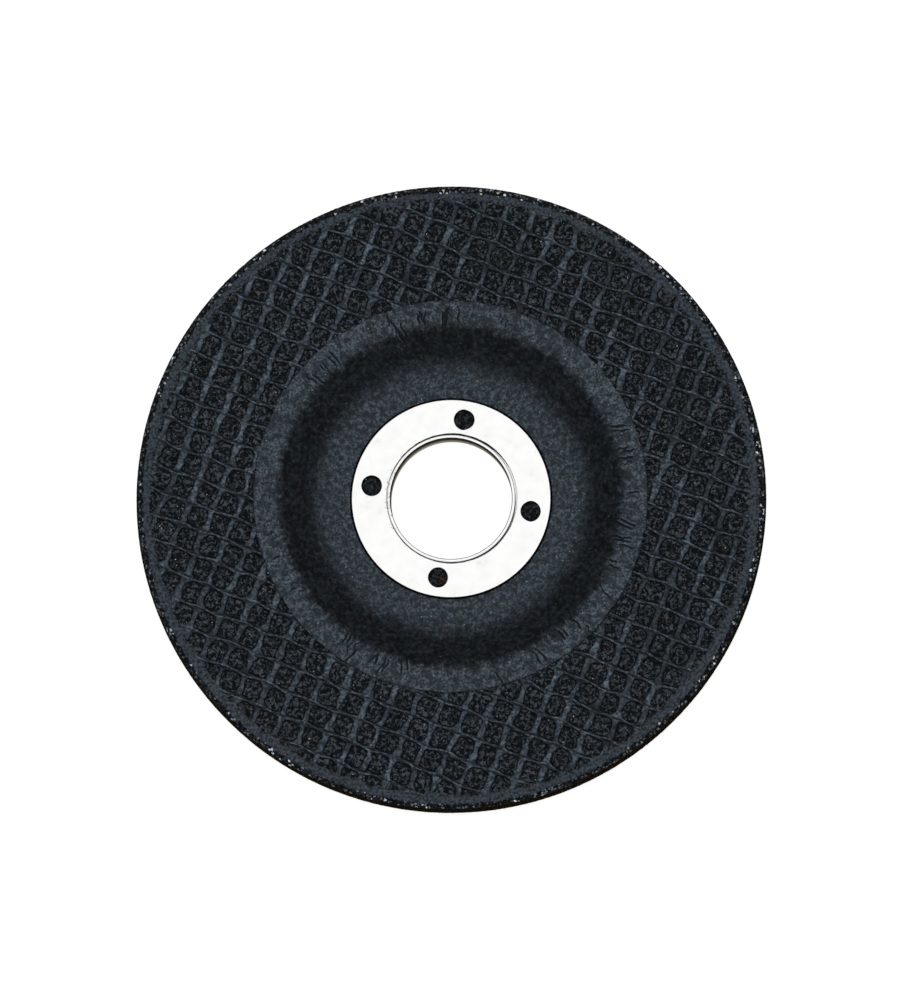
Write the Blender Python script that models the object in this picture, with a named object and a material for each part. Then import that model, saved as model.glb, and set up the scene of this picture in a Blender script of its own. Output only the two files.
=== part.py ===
"""A depressed-centre grinding disc, 115 mm across, 6 mm thick, for a 22.23 mm spindle.

The disc lies on the back of its hub with the hollow of its centre facing up. The origin is on
the bore's axis, in the plane that the hub rests on. All sizes are in metres, +Z is up.

Every layered piece follows one curve, the dish line: flat over the hub, up a slope, and flat
again out to the rim. A piece states how deep below the front face it lies, and the dish line
at that depth gives its outline.
"""

import math

import bmesh
import bpy

# Sizes of the moulded disc
DISC_DIAMETER = 0.1150
THICKNESS = 0.0060
DEPRESSION_DEPTH = 0.0046
HUB_FLOOR_WIDTH = 0.0064  # from the flange's edge to the foot of the slope
SLOPE_RUN = 0.00686
HUB_BEND_RADIUS = 0.0080
LIP_BEND_RADIUS = 0.0036
TIGHTEST_BEND_RADIUS = 0.0015
RIM_BAND_WIDTH = 0.00156
FRONT_EDGE_WIDTH = 0.0013
FRONT_EDGE_DROP = 0.0008
BACK_EDGE_CHAMFER = 0.0006

# Sizes of the steel in the bore
BORE_DIAMETER = 0.02223
SLEEVE_WALL = 0.0008
SLEEVE_BACK_STEP = 0.0003
FLANGE_WIDTH = 0.00597
FLANGE_THICKNESS = 0.0005
STEEL_EDGE_BREAK = 0.00012
KEY_HOLE_COUNT = 4
KEY_HOLE_DIAMETER = 0.0036
KEY_CIRCLE_INSET = 0.0005  # the hole circle lies this far inside the flange's middle
KEY_HOLE_ANGLE = math.radians(-9.4)
BOSS_RECESS = 0.00015
BOSS_ROOT = 0.0010

# Sizes of the centre cover
LIP_BAND_WIDTH = 0.00444  # from the top of the slope to the cover's edge
COVER_THICKNESS = 0.00035

# Sizes of the two glass cloths
CLOTH_THICKNESS = 0.00035
STRAND_HEIGHT = 0.00035
STRAND_DRAFT = 0.00012
CLOTH_BORDER = 0.0003
BAND_PITCH = 0.004363
BAND_WIDTH = 0.0013
BAND_OFFSET = -0.0007
YARN_PITCH = 0.004295
YARN_WIDTH = 0.00065
YARN_OFFSET = -0.00103
SMALLEST_CUT = 0.0006
FRONT_CLOTH_ANGLE = math.radians(-21.5)
BACK_CLOTH_ANGLE = math.radians(34.0)
BACK_CLOTH_START = 0.0015  # from the foot of the hub's rounded shoulder to the back cloth

# Fits and facets
GAP = 0.0003  # between two pieces that touch
CUT_OVERRUN = 0.0002
SHORTEST_STRETCH = 0.0002
SEGMENTS = 52
HOLE_SEGMENTS = 16
HUB_BEND_STEPS = 2
LIP_BEND_STEPS = 1

# Heights and radii that follow from the sizes above
HUB_Z = THICKNESS
FRONT_Z = THICKNESS + DEPRESSION_DEPTH
BACK_Z = DEPRESSION_DEPTH
DISC_RADIUS = DISC_DIAMETER / 2
BORE_RADIUS = BORE_DIAMETER / 2
SLEEVE_RADIUS = BORE_RADIUS + SLEEVE_WALL
SEAT_RADIUS = SLEEVE_RADIUS + GAP
FLANGE_RADIUS = SEAT_RADIUS + FLANGE_WIDTH
KEY_CIRCLE_RADIUS = (SEAT_RADIUS + FLANGE_RADIUS) / 2 - KEY_CIRCLE_INSET
KEY_HOLE_RADIUS = KEY_HOLE_DIAMETER / 2
FOOT_RADIUS = FLANGE_RADIUS + HUB_FLOOR_WIDTH
LIP_RADIUS = FOOT_RADIUS + SLOPE_RUN
COVER_RADIUS = LIP_RADIUS + LIP_BAND_WIDTH
CLOTH_RADIUS = DISC_RADIUS - FRONT_EDGE_WIDTH - RIM_BAND_WIDTH
RIM_WALL_RADIUS = CLOTH_RADIUS + GAP
SLOPE_ANGLE = math.atan2(DEPRESSION_DEPTH, SLOPE_RUN)

# Depths below the front face, measured square to it
CLOTH_TOP = COVER_THICKNESS + GAP
CLOTH_BOTTOM = CLOTH_TOP + CLOTH_THICKNESS
FRONT_POCKET = CLOTH_BOTTOM + GAP
BACK_CLOTH_TOP = THICKNESS - CLOTH_THICKNESS - STRAND_HEIGHT
BACK_POCKET = BACK_CLOTH_TOP - GAP


def clear_scene():
    """Removes whatever the scene holds."""
    for thing in list(bpy.data.objects):
        bpy.data.objects.remove(thing, do_unlink=True)


def make_material(name, colour, roughness, metallic=0.0):
    """One plain Principled material."""
    material = bpy.data.materials.new(name)
    material.use_nodes = True
    shader = material.node_tree.nodes["Principled BSDF"]
    shader.inputs["Base Color"].default_value = (*colour, 1.0)
    shader.inputs["Roughness"].default_value = roughness
    shader.inputs["Metallic"].default_value = metallic
    material.diffuse_color = (*colour, 1.0)
    return material


def bend_radii(depth):
    """The radii of the hub's bend and of the lip's bend on the dish line at a depth."""
    lip_bend = max(LIP_BEND_RADIUS - depth, TIGHTEST_BEND_RADIUS)
    return HUB_BEND_RADIUS + depth, lip_bend


def bend_centres(depth):
    """Where on the radius the hub's bend starts and the lip's bend ends at a depth."""
    hub_bend, lip_bend = bend_radii(depth)
    half_turn = math.tan(SLOPE_ANGLE / 2)
    hub_start = FOOT_RADIUS + (depth - hub_bend) * half_turn
    lip_end = LIP_RADIUS + (depth + lip_bend) * half_turn
    return hub_start, lip_end


def dish_height(radius, depth):
    """Height of the dish line: hub flat, concave arc, straight slope, convex arc, lip flat."""
    hub_bend, lip_bend = bend_radii(depth)
    hub_start, lip_end = bend_centres(depth)
    hub_stop = hub_start + hub_bend * math.sin(SLOPE_ANGLE)
    lip_start = lip_end - lip_bend * math.sin(SLOPE_ANGLE)
    if radius <= hub_start:
        return HUB_Z - depth
    if radius >= lip_end:
        return FRONT_Z - depth
    if radius < hub_stop:
        return HUB_Z - depth + hub_bend - math.sqrt(hub_bend**2 - (radius - hub_start) ** 2)
    if radius > lip_start:
        return FRONT_Z - depth - lip_bend + math.sqrt(lip_bend**2 - (lip_end - radius) ** 2)
    rise = hub_bend * (1 - math.cos(SLOPE_ANGLE))
    return HUB_Z - depth + rise + (radius - hub_stop) * math.tan(SLOPE_ANGLE)


def dish_line(depth, start, end):
    """Points (radius, height) of the dish line at a depth, from one radius out to another."""
    hub_bend, lip_bend = bend_radii(depth)
    hub_start, lip_end = bend_centres(depth)
    corners = []
    for step in range(HUB_BEND_STEPS + 1):
        turn = SLOPE_ANGLE * step / HUB_BEND_STEPS
        corners.append(hub_start + hub_bend * math.sin(turn))
    for step in range(LIP_BEND_STEPS + 1):
        turn = SLOPE_ANGLE * (1 - step / LIP_BEND_STEPS)
        corners.append(lip_end - lip_bend * math.sin(turn))
    low = start + SHORTEST_STRETCH
    high = end - SHORTEST_STRETCH
    inside = [radius for radius in corners if low < radius < high]
    return [(radius, dish_height(radius, depth)) for radius in [start, *inside, end]]


def back_cloth_start():
    """Radius at which the back cloth begins, a little up the hub's rounded shoulder."""
    return bend_centres(THICKNESS)[0] + BACK_CLOTH_START


def turn_profile(profile, segments=SEGMENTS):
    """Spins a closed outline of (radius, height) points about Z into a closed bmesh."""
    bm = bmesh.new()
    verts = [bm.verts.new((radius, 0.0, height)) for radius, height in profile]
    edges = [bm.edges.new(pair) for pair in zip(verts, verts[1:] + verts[:1])]
    bmesh.ops.spin(
        bm,
        geom=verts + edges,
        cent=(0.0, 0.0, 0.0),
        axis=(0.0, 0.0, 1.0),
        angle=math.tau,
        steps=segments,
        use_merge=True,
    )
    bmesh.ops.recalc_face_normals(bm, faces=bm.faces)
    return bm


def join_flat_ring(bm, height, inner, outer):
    """Joins a flat ring's facets into two half rings, so that cuts in it stay light."""
    spokes = []
    for edge in bm.edges:
        ends = sorted(edge.verts, key=lambda vert: vert.co.xy.length)
        level = all(abs(vert.co.z - height) < 1e-6 for vert in ends)
        spans = abs(ends[0].co.xy.length - inner) < 1e-6 and abs(ends[1].co.xy.length - outer) < 1e-6
        if level and spans and abs(ends[0].co.y) > 1e-6:
            spokes.append(edge)
    bmesh.ops.dissolve_edges(bm, edges=spokes, use_verts=False)


def add_object(name, bm, material=None, parent=None, height=0.0):
    """Makes a smooth-shaded object of a bmesh, with sharp edges kept sharp."""
    mesh = bpy.data.meshes.new(name)
    bm.to_mesh(mesh)
    bm.free()
    mesh.shade_smooth()
    mesh.set_sharp_from_angle(angle=math.radians(30))
    if material:
        mesh.materials.append(material)
    thing = bpy.data.objects.new(name, mesh)
    thing.location.z = height
    thing.parent = parent
    bpy.context.scene.collection.objects.link(thing)
    return thing


def combine(thing, tool, operation):
    """Joins, cuts or clips an object with a hidden tool."""
    tool.hide_render = True
    tool.display_type = "WIRE"
    modifier = thing.modifiers.new(tool.name, "BOOLEAN")
    modifier.operation = operation
    modifier.solver = "EXACT"
    modifier.object = tool


def key_cylinders(name, radius, bottom, top):
    """Four cylinders on the key circle, as one tool."""
    bm = bmesh.new()
    for index in range(KEY_HOLE_COUNT):
        angle = KEY_HOLE_ANGLE + math.tau * index / KEY_HOLE_COUNT
        made = bmesh.ops.create_circle(bm, cap_ends=True, segments=HOLE_SEGMENTS, radius=radius)
        place = (
            KEY_CIRCLE_RADIUS * math.cos(angle),
            KEY_CIRCLE_RADIUS * math.sin(angle),
            bottom,
        )
        bmesh.ops.translate(bm, verts=made["verts"], vec=place)
        disc = made["verts"][0].link_faces[0]
        raised = bmesh.ops.extrude_face_region(bm, geom=[disc], use_keep_orig=True)
        raised_verts = [item for item in raised["geom"] if isinstance(item, bmesh.types.BMVert)]
        bmesh.ops.translate(bm, verts=raised_verts, vec=(0.0, 0.0, top - bottom))
    bmesh.ops.recalc_face_normals(bm, faces=bm.faces)
    return add_object(name, bm)


def openings(pitch, strand, offset, reach):
    """The spans between neighbouring strands that lie side by side out to a reach."""
    count = math.ceil(reach / pitch) + 1
    spans = []
    for index in range(-count, count):
        low = offset + index * pitch + strand / 2
        spans.append((low, low + pitch - strand))
    return spans


def meets_ring(across, along, inner, outer):
    """Whether a span by span rectangle covers a worthwhile piece of a ring."""
    near = [0.0 if low < 0.0 < high else min(abs(low), abs(high)) for low, high in (across, along)]
    far = [max(abs(low), abs(high)) for low, high in (across, along)]
    return math.hypot(*far) > inner + SMALLEST_CUT and math.hypot(*near) < outer - SMALLEST_CUT


def add_cut(bm, across, along, face, floor):
    """A block with drafted sides, from its floor in the cloth to just outside the face."""
    outward = math.copysign(1.0, face - floor)
    draft = STRAND_DRAFT / abs(face - floor)
    rings = []
    for height in (floor, face + outward * CUT_OVERRUN):
        grow = (abs(height - floor) - abs(face - floor)) * draft
        corners = [(0, 0), (1, 0), (1, 1), (0, 1)]
        ring = []
        for right, back in corners:
            x = across[right] + (grow if right else -grow)
            y = along[back] + (grow if back else -grow)
            ring.append(bm.verts.new((x, y, height)))
        rings.append(ring)
    bm.faces.new(rings[0])
    bm.faces.new(rings[1])
    for index in range(4):
        following = (index + 1) % 4
        bm.faces.new((rings[0][index], rings[0][following], rings[1][following], rings[1][index]))


def cloth_cutter(name, across_spans, along_spans, angle, face, floor, inner, outer):
    """The openings between a cloth's strands, clipped to the ring in which they show."""
    bm = bmesh.new()
    for across in across_spans:
        for along in along_spans:
            if meets_ring(across, along, inner, outer):
                add_cut(bm, across, along, face, floor)
    bmesh.ops.recalc_face_normals(bm, faces=bm.faces)
    cutter = add_object(name, bm)
    cutter.rotation_euler.z = angle
    low = min(face, floor) - STRAND_HEIGHT
    high = max(face, floor) + STRAND_HEIGHT
    ring = turn_profile([(inner, low), (outer, low), (outer, high), (inner, high)])
    combine(cutter, add_object(name + "_ring", ring), "INTERSECT")
    return cutter


def make_body(material, axis):
    """The moulded abrasive: pockets for the cloths, a plain rim, and bosses through the flange."""
    shoulder = back_cloth_start()
    front = dish_line(FRONT_POCKET, SEAT_RADIUS, RIM_WALL_RADIUS)
    rim = [
        (RIM_WALL_RADIUS, FRONT_Z),
        (DISC_RADIUS - FRONT_EDGE_WIDTH, FRONT_Z),
        (DISC_RADIUS, FRONT_Z - FRONT_EDGE_DROP),
        (DISC_RADIUS, BACK_Z + BACK_EDGE_CHAMFER),
        (DISC_RADIUS - BACK_EDGE_CHAMFER, BACK_Z),
        (RIM_WALL_RADIUS, BACK_Z),
    ]
    back = dish_line(BACK_POCKET, shoulder - GAP, RIM_WALL_RADIUS)
    hub = dish_line(THICKNESS, SEAT_RADIUS, shoulder - GAP)
    bm = turn_profile([*front, *rim, *reversed(back), *reversed(hub)])
    body = add_object("abrasive_body", bm, material, axis)
    seat = HUB_Z - FRONT_POCKET
    boss_top = HUB_Z - COVER_THICKNESS + FLANGE_THICKNESS - BOSS_RECESS
    bosses = key_cylinders("bosses", KEY_HOLE_RADIUS - GAP, seat - BOSS_ROOT, boss_top)
    combine(body, bosses, "UNION")
    return body


def make_front_cloth(material, axis):
    """The front glass cloth: a thin sheet under the cover, ridged where its strands show."""
    step = COVER_RADIUS + GAP
    covered = dish_line(CLOTH_TOP, SEAT_RADIUS, step)
    under = dish_line(CLOTH_BOTTOM, SEAT_RADIUS, CLOTH_RADIUS)
    bm = turn_profile([*covered, (step, FRONT_Z), (CLOTH_RADIUS, FRONT_Z), *reversed(under)])
    join_flat_ring(bm, FRONT_Z, step, CLOTH_RADIUS)
    cloth = add_object("front_mesh", bm, material, axis)
    cutter = cloth_cutter(
        "front_openings",
        openings(BAND_PITCH, BAND_WIDTH, BAND_OFFSET, CLOTH_RADIUS),
        openings(YARN_PITCH, YARN_WIDTH, YARN_OFFSET, CLOTH_RADIUS),
        FRONT_CLOTH_ANGLE,
        FRONT_Z,
        FRONT_Z - STRAND_HEIGHT,
        step + CLOTH_BORDER,
        CLOTH_RADIUS - CLOTH_BORDER,
    )
    combine(cloth, cutter, "DIFFERENCE")
    low = HUB_Z - CLOTH_BOTTOM - CUT_OVERRUN
    high = HUB_Z - CLOTH_TOP + CUT_OVERRUN
    combine(cloth, key_cylinders("boss_passages", KEY_HOLE_RADIUS, low, high), "DIFFERENCE")
    return cloth


def make_back_cloth(material, axis):
    """The back glass cloth, from the hub's shoulder to the rim, with its flat bands raised."""
    start = back_cloth_start()
    inside = dish_line(BACK_CLOTH_TOP, start, CLOTH_RADIUS)
    outside = dish_line(THICKNESS, start, CLOTH_RADIUS)
    bm = turn_profile([*inside, *reversed(outside)])
    ring_start = bend_centres(THICKNESS)[1]
    join_flat_ring(bm, BACK_Z, ring_start, CLOTH_RADIUS)
    cloth = add_object("back_mesh", bm, material, axis)
    cutter = cloth_cutter(
        "back_openings",
        openings(BAND_PITCH, BAND_WIDTH, BAND_OFFSET, CLOTH_RADIUS),
        [(-DISC_RADIUS, DISC_RADIUS)],
        BACK_CLOTH_ANGLE,
        BACK_Z,
        BACK_Z + STRAND_HEIGHT,
        ring_start + CLOTH_BORDER,
        CLOTH_RADIUS - CLOTH_BORDER,
    )
    combine(cloth, cutter, "DIFFERENCE")
    return cloth


def make_cover(material, axis):
    """The thin cover pressed into the hollow, from the flange's edge to past the lip."""
    top = dish_line(0.0, FLANGE_RADIUS + GAP, COVER_RADIUS)
    bottom = dish_line(COVER_THICKNESS, FLANGE_RADIUS + GAP, COVER_RADIUS)
    return add_object("centre_cover", turn_profile([*top, *reversed(bottom)]), material, axis)


def broken_ring(inner, outer, height):
    """Outline of a flat steel ring whose upper edges are broken by a small chamfer."""
    return [
        (inner, 0.0),
        (outer, 0.0),
        (outer, height - STEEL_EDGE_BREAK),
        (outer - STEEL_EDGE_BREAK, height),
        (inner + STEEL_EDGE_BREAK, height),
        (inner, height - STEEL_EDGE_BREAK),
    ]


def make_flange(material, axis):
    """The flat steel flange, keyed to the abrasive by the bosses that fill its holes."""
    bm = turn_profile(broken_ring(SEAT_RADIUS, FLANGE_RADIUS, FLANGE_THICKNESS))
    seat = HUB_Z - COVER_THICKNESS
    flange = add_object("flange_ring", bm, material, axis, seat)
    low = seat - CUT_OVERRUN
    high = seat + FLANGE_THICKNESS + CUT_OVERRUN
    combine(flange, key_cylinders("key_holes", KEY_HOLE_RADIUS, low, high), "DIFFERENCE")
    return flange


def make_sleeve(material, axis):
    """The steel sleeve that lines the bore, flush with the flange's upper face."""
    top = HUB_Z - COVER_THICKNESS + FLANGE_THICKNESS
    bm = turn_profile(broken_ring(BORE_RADIUS, SLEEVE_RADIUS, top - SLEEVE_BACK_STEP))
    return add_object("bore_sleeve", bm, material, axis, SLEEVE_BACK_STEP)


def main():
    clear_scene()
    axis = bpy.data.objects.new("disc_axis", None)
    bpy.context.scene.collection.objects.link(axis)
    make_body(make_material("abrasive", (0.016, 0.016, 0.017), 0.85), axis)
    make_front_cloth(make_material("front_cloth", (0.045, 0.05, 0.056), 0.6), axis)
    make_back_cloth(make_material("back_cloth", (0.04, 0.044, 0.05), 0.6), axis)
    make_cover(make_material("cover", (0.035, 0.04, 0.046), 0.55), axis)
    steel = make_material("plated_steel", (0.86, 0.86, 0.85), 0.3, 1.0)
    make_flange(steel, axis)
    make_sleeve(make_material("sleeve_steel", (0.8, 0.79, 0.77), 0.35, 1.0), axis)


main()
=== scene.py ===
# %% [markdown]
# # Dressing a depressed-centre grinding disc
# The real disc is pressed in a mould: abrasive grit and black resin, with a coarse glass cloth in
# each face, a thin cover over the hollow centre, and a bright steel flange and sleeve in the bore.
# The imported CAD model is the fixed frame. Everything made here lies where that model says, and
# each fine surface stands for the plain solid below it.

import math

import bmesh
import bpy
import numpy as np
from mathutils import Matrix, Vector, geometry


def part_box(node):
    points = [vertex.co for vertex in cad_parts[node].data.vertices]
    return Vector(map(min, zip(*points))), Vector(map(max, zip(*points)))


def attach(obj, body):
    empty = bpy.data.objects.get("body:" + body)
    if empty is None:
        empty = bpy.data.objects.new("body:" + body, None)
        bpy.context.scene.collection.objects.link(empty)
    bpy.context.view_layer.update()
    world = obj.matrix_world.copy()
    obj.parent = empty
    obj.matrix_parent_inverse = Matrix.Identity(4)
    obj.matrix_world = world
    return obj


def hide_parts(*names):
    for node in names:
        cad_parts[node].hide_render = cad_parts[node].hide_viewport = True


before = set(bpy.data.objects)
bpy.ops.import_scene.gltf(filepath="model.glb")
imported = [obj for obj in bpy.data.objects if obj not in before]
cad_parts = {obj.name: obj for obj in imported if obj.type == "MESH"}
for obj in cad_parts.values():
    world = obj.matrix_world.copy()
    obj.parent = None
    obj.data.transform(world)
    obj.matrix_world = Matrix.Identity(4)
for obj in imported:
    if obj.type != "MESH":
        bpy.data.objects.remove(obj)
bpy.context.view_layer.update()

# %% [markdown]
# ## Sizes
# Radii and heights could be typed in again, but then they could drift from the solids. The round
# nodes give them instead: half a node's width is its radius. Only what no node shows, such as the
# radius of a bend, is a value here.

# %% Sizes read from the frame
MM = 0.001


def radius_of(node):
    """Half a round node's width along X, which is its outer radius."""
    low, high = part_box(node)
    return (high[0] - low[0]) / 2


DISC_RADIUS = radius_of("abrasive_body")
CLOTH_RADIUS = radius_of("front_mesh")
BACK_CLOTH_RADIUS = radius_of("back_mesh")
COVER_RADIUS = radius_of("centre_cover")
FLANGE_RADIUS = radius_of("flange_ring")
SLEEVE_RADIUS = radius_of("bore_sleeve")
FRONT_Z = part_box("abrasive_body")[1][2]
FLANGE_FOOT, FLANGE_TOP = (corner[2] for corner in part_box("flange_ring"))
SLEEVE_FOOT, SLEEVE_TOP = (corner[2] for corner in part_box("bore_sleeve"))
print("radii", [round(r / MM, 3) for r in (DISC_RADIUS, CLOTH_RADIUS, COVER_RADIUS, FLANGE_RADIUS)])

# %% Sizes that no node shows
THICKNESS = 6.0 * MM
GAP = 0.3 * MM
HUB_Z = THICKNESS
BACK_Z = FRONT_Z - THICKNESS
FOOT_RADIUS = FLANGE_RADIUS + 6.4 * MM
LIP_RADIUS = COVER_RADIUS - 4.44 * MM
HUB_BEND = 8.0 * MM
LIP_BEND = 3.6 * MM
TIGHTEST_BEND = 1.5 * MM
SEAT_RADIUS = SLEEVE_RADIUS + GAP
SLOPE_ANGLE = math.atan2(FRONT_Z - HUB_Z, LIP_RADIUS - FOOT_RADIUS)
print("slope", round(math.degrees(SLOPE_ANGLE), 2), "degrees")

# %% [markdown]
# ## The dish line
# Every layer of the disc follows one curve: flat over the hub, a hollow bend, a slope, a round
# bend and flat again to the rim. A layer that lies deeper has a wider hollow bend and a tighter
# round one. One function of radius and depth serves all of them, and a second one lifts a point
# off that curve, square to it, which is what grains, wrinkles and strands need.


# %% The dish line and a point lifted off it
def dish_height(radius, depth):
    """Height of the layer that lies depth below the front: the hub's flat, plus what the hollow
    arc rises by there, plus the slope's rise, plus what the round arc rises by."""
    hub_bend = HUB_BEND + depth
    lip_bend = max(LIP_BEND - depth, TIGHTEST_BEND)
    half_turn = math.tan(SLOPE_ANGLE / 2)
    hub_start = FOOT_RADIUS + (depth - hub_bend) * half_turn
    lip_end = LIP_RADIUS + (depth + lip_bend) * half_turn
    hub_reach = hub_bend * math.sin(SLOPE_ANGLE)
    lip_reach = lip_bend * math.sin(SLOPE_ANGLE)
    slope_run = lip_end - lip_reach - hub_start - hub_reach
    into_hub = np.clip(radius - hub_start, 0, hub_reach)
    into_lip = np.clip(lip_end - radius, 0, lip_reach)
    on_slope = np.clip(radius - hub_start - hub_reach, 0, slope_run)
    hollow = hub_bend - np.sqrt(hub_bend**2 - into_hub**2)
    rounded = np.sqrt(lip_bend**2 - into_lip**2) - lip_bend * math.cos(SLOPE_ANGLE)
    return HUB_Z - depth + hollow + on_slope * math.tan(SLOPE_ANGLE) + rounded


def on_dish(x, y, depth, lift):
    """Points over (x, y) on the dish line at a depth, moved by lift along its upward normal."""
    radius = np.hypot(x, y)
    reach = 0.05 * MM
    rise = dish_height(radius + reach, depth) - dish_height(radius - reach, depth)
    tilt = np.arctan2(rise, 2 * reach)
    share = 1 - lift * np.sin(tilt) / radius
    height = dish_height(radius, depth) + lift * np.cos(tilt)
    return np.stack([x * share, y * share, height], axis=-1)


def around(count):
    """Even angles round a full turn."""
    return np.arange(count) * 2 * math.pi / count


sample_radii = np.array([15, 22, 26, 30, 34, 50]) * MM
print("front heights", (dish_height(sample_radii, 0.0) / MM).round(2), "mm")

# %% [markdown]
# ## Noise that repeats
# Grit, ragged edges and wrinkles need chance, but the script must give the same disc each time.
# A seeded generator would tie each value to the order of calls. A hash of a point's own cell
# doesn't: the same place always gets the same number, so neighbours agree and seams close. A salt,
# which is any number of its own, keeps one use of the noise apart from the next.

# %% Repeatable noise
HASH_WEIGHTS = np.array([127.1, 311.7, 74.7])
HASH_SALT = 57.3
HASH_SPREAD = 43758.5453


def scatter(cell, salt):
    """A number from 0 to 1 for each whole-number cell: the fraction left by a large sine."""
    return np.modf(np.abs(np.sin(cell @ HASH_WEIGHTS + salt * HASH_SALT) * HASH_SPREAD))[0]


def soft_noise(points, size, salt):
    """Smooth noise from -1 to 1: hashed values on a lattice of that size, blended by a smooth step."""
    scaled = points / size
    corner = np.floor(scaled)
    share = scaled - corner
    share = share * share * (3 - 2 * share)
    total = np.zeros(points.shape[:-1])
    for offset in np.ndindex(2, 2, 2):
        weight = np.prod(np.where(offset, share, 1 - share), axis=-1)
        total += weight * scatter(corner + np.array(offset), salt)
    return 2 * total - 1


def line_noise(values, size, salt):
    """Smooth noise along a line, from -1 to 1."""
    values = np.asarray(values, dtype=float)
    zero = np.zeros_like(values)
    return soft_noise(np.stack([values, zero, zero], axis=-1), size, salt)


test_points = np.random.default_rng(1).random((500, 3))
print("noise spread", soft_noise(test_points, 0.1, 1).std().round(2))

# %% [markdown]
# ## Grains
# Broken grit is a crowd of facets that meet in grooves. Smooth noise would look like dunes, so
# each point looks for its nearest seed instead, and the grain round that seed has one height and
# one tilt. Two plain shapes, a step and a bell, blend things in all the cells below.

# %% Grains, a step and a bell
NO_SEED_YET = 9.0
FACET_TILT = 1.5


def grains(points, size, salt):
    """Broken grit as nearest-seed cells, one jittered seed a cell. Each grain has its own height
    and a facet of its own tilt. Also returned: how far the point is from the groove between the
    two nearest grains, as a share of the size."""
    scaled = points / size
    cell = np.floor(scaled)
    nearest = np.full(points.shape[:-1], NO_SEED_YET)
    second = nearest.copy()
    lift = np.zeros(points.shape[:-1])
    for offset in np.ndindex(3, 3, 3):
        home = cell + np.array(offset) - 1
        seed = home + np.stack([scatter(home, salt + k) for k in range(3)], axis=-1)
        facet = np.stack([scatter(home, salt + 3 + k) - 0.5 for k in range(3)], axis=-1)
        away = scaled - seed
        distance = np.linalg.norm(away, axis=-1)
        height = scatter(home, salt + 6) - 0.5 + FACET_TILT * (away * facet).sum(axis=-1)
        closer = distance < nearest
        second = np.where(closer, nearest, np.minimum(second, distance))
        lift = np.where(closer, height, lift)
        nearest = np.where(closer, distance, nearest)
    return lift, second - nearest


def smooth_step(value, low, high):
    """0 up to low, 1 from high, and an S-shaped rise between them."""
    share = np.clip((value - low) / (high - low), 0, 1)
    return share * share * (3 - 2 * share)


def bell(value, width=1.0):
    """A rounded bump: 1 at 0, about a third at the width, and next to nothing at twice that."""
    return np.exp(-((value / width) ** 2))


print("grain heights", grains(test_points, 0.1, 1)[0].std().round(2))

# %% [markdown]
# ## From arrays to meshes
# Each piece is a closed surface on a grid of two parameters. A ring closes both ways, a strand
# closes around its section and is capped at its ends. The grid's order decides which way its
# faces look, so the volume's sign is measured and the faces are turned if they look inwards.


# %% Grids and their faces
def ring_faces(rows, columns):
    """Quads of a grid that closes both ways."""
    row, column = np.divmod(np.arange(rows * columns), columns)
    next_row, next_column = (row + 1) % rows, (column + 1) % columns
    corners = [row * columns + column, row * columns + next_column]
    corners += [next_row * columns + next_column, next_row * columns + column]
    return np.stack(corners, axis=1)


def tube_faces(rows, columns):
    """Quads of a grid whose columns close and whose first and last row stay open."""
    return ring_faces(rows, columns)[: (rows - 1) * columns]


def facing_out(points, faces):
    """The quads, turned round if the volume that they close about their middle is negative."""
    centred = points - points.mean(axis=0)
    a, b, c, d = (centred[faces[:, k]] for k in range(4))
    volume = (a * np.cross(b, c)).sum() + (a * np.cross(c, d)).sum()
    return faces[:, ::-1] if volume < 0 else faces


def turned(line, count):
    """Grid of points: each (radius, height) of a line, turned to count angles."""
    angle = around(count)
    x = line[:, :1] * np.cos(angle)
    y = line[:, :1] * np.sin(angle)
    return np.stack([x, y, np.broadcast_to(line[:, 1:], x.shape)], axis=-1)


def level_line(radii, height):
    """(radius, height) points of a flat line."""
    return np.stack([radii, np.full(len(radii), height)], axis=1)


print("a ring of 3 by 4 points has", len(ring_faces(3, 4)), "faces")

# %% [markdown]
# ## Pieces
# A mesh object could be made by hand each time, but every piece of the disc needs the same things:
# its mesh, its finish, the body that it rides on and the solid that it stands for. One function
# does all of that. Two more give a piece a number at each point, which its finish can read, and a
# second finish on some of its faces.

# %% Pieces
def add_piece(name, points, faces, finish, slot, nodes):
    """A smooth mesh object that rides on the disc's one body and stands for some CAD nodes."""
    mesh = bpy.data.meshes.new(name)
    mesh.from_pydata(points.tolist(), [], faces)
    mesh.shade_smooth()
    mesh.materials.append(finish)
    piece = bpy.data.objects.new(name, mesh)
    bpy.context.scene.collection.objects.link(piece)
    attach(piece, "root")
    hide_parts(*nodes)
    triangles = sum(len(face) - 2 for face in faces)
    print(name, len(points), "points,", triangles, "triangles")
    return piece


def ring_piece(name, grid, finish, slot, nodes):
    """A piece from a grid of points whose rows and columns both close."""
    points = grid.reshape(-1, 3)
    faces = facing_out(points, ring_faces(*grid.shape[:2]))
    return add_piece(name, points, faces.tolist(), finish, slot, nodes)


def point_value(piece, name, values):
    """One number for each point of a piece, which its finish reads by name."""
    piece.data.attributes.new(name, "FLOAT", "POINT").data.foreach_set("value", values)


def second_finish(piece, finish, chosen):
    """Gives the chosen faces of a piece a finish of their own."""
    piece.data.materials.append(finish)
    piece.data.polygons.foreach_set("material_index", chosen.astype(np.int32))


def face_centres(piece):
    """Distance from the axis and height of each face's middle."""
    centres = np.empty(3 * len(piece.data.polygons))
    piece.data.polygons.foreach_get("center", centres)
    x, y, z = centres.reshape(-1, 3).T
    return np.hypot(x, y), z


# %% [markdown]
# ## Building finishes from nodes
# A finish is a Principled shader fed by noise and cell textures. Linking nodes one by one takes
# many lines, so a few small helpers do it: each adds one node, sets or links its inputs, and
# returns the output socket. The names and numbers of a node's inputs belong to the version of
# Blender that is printed here.

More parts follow.
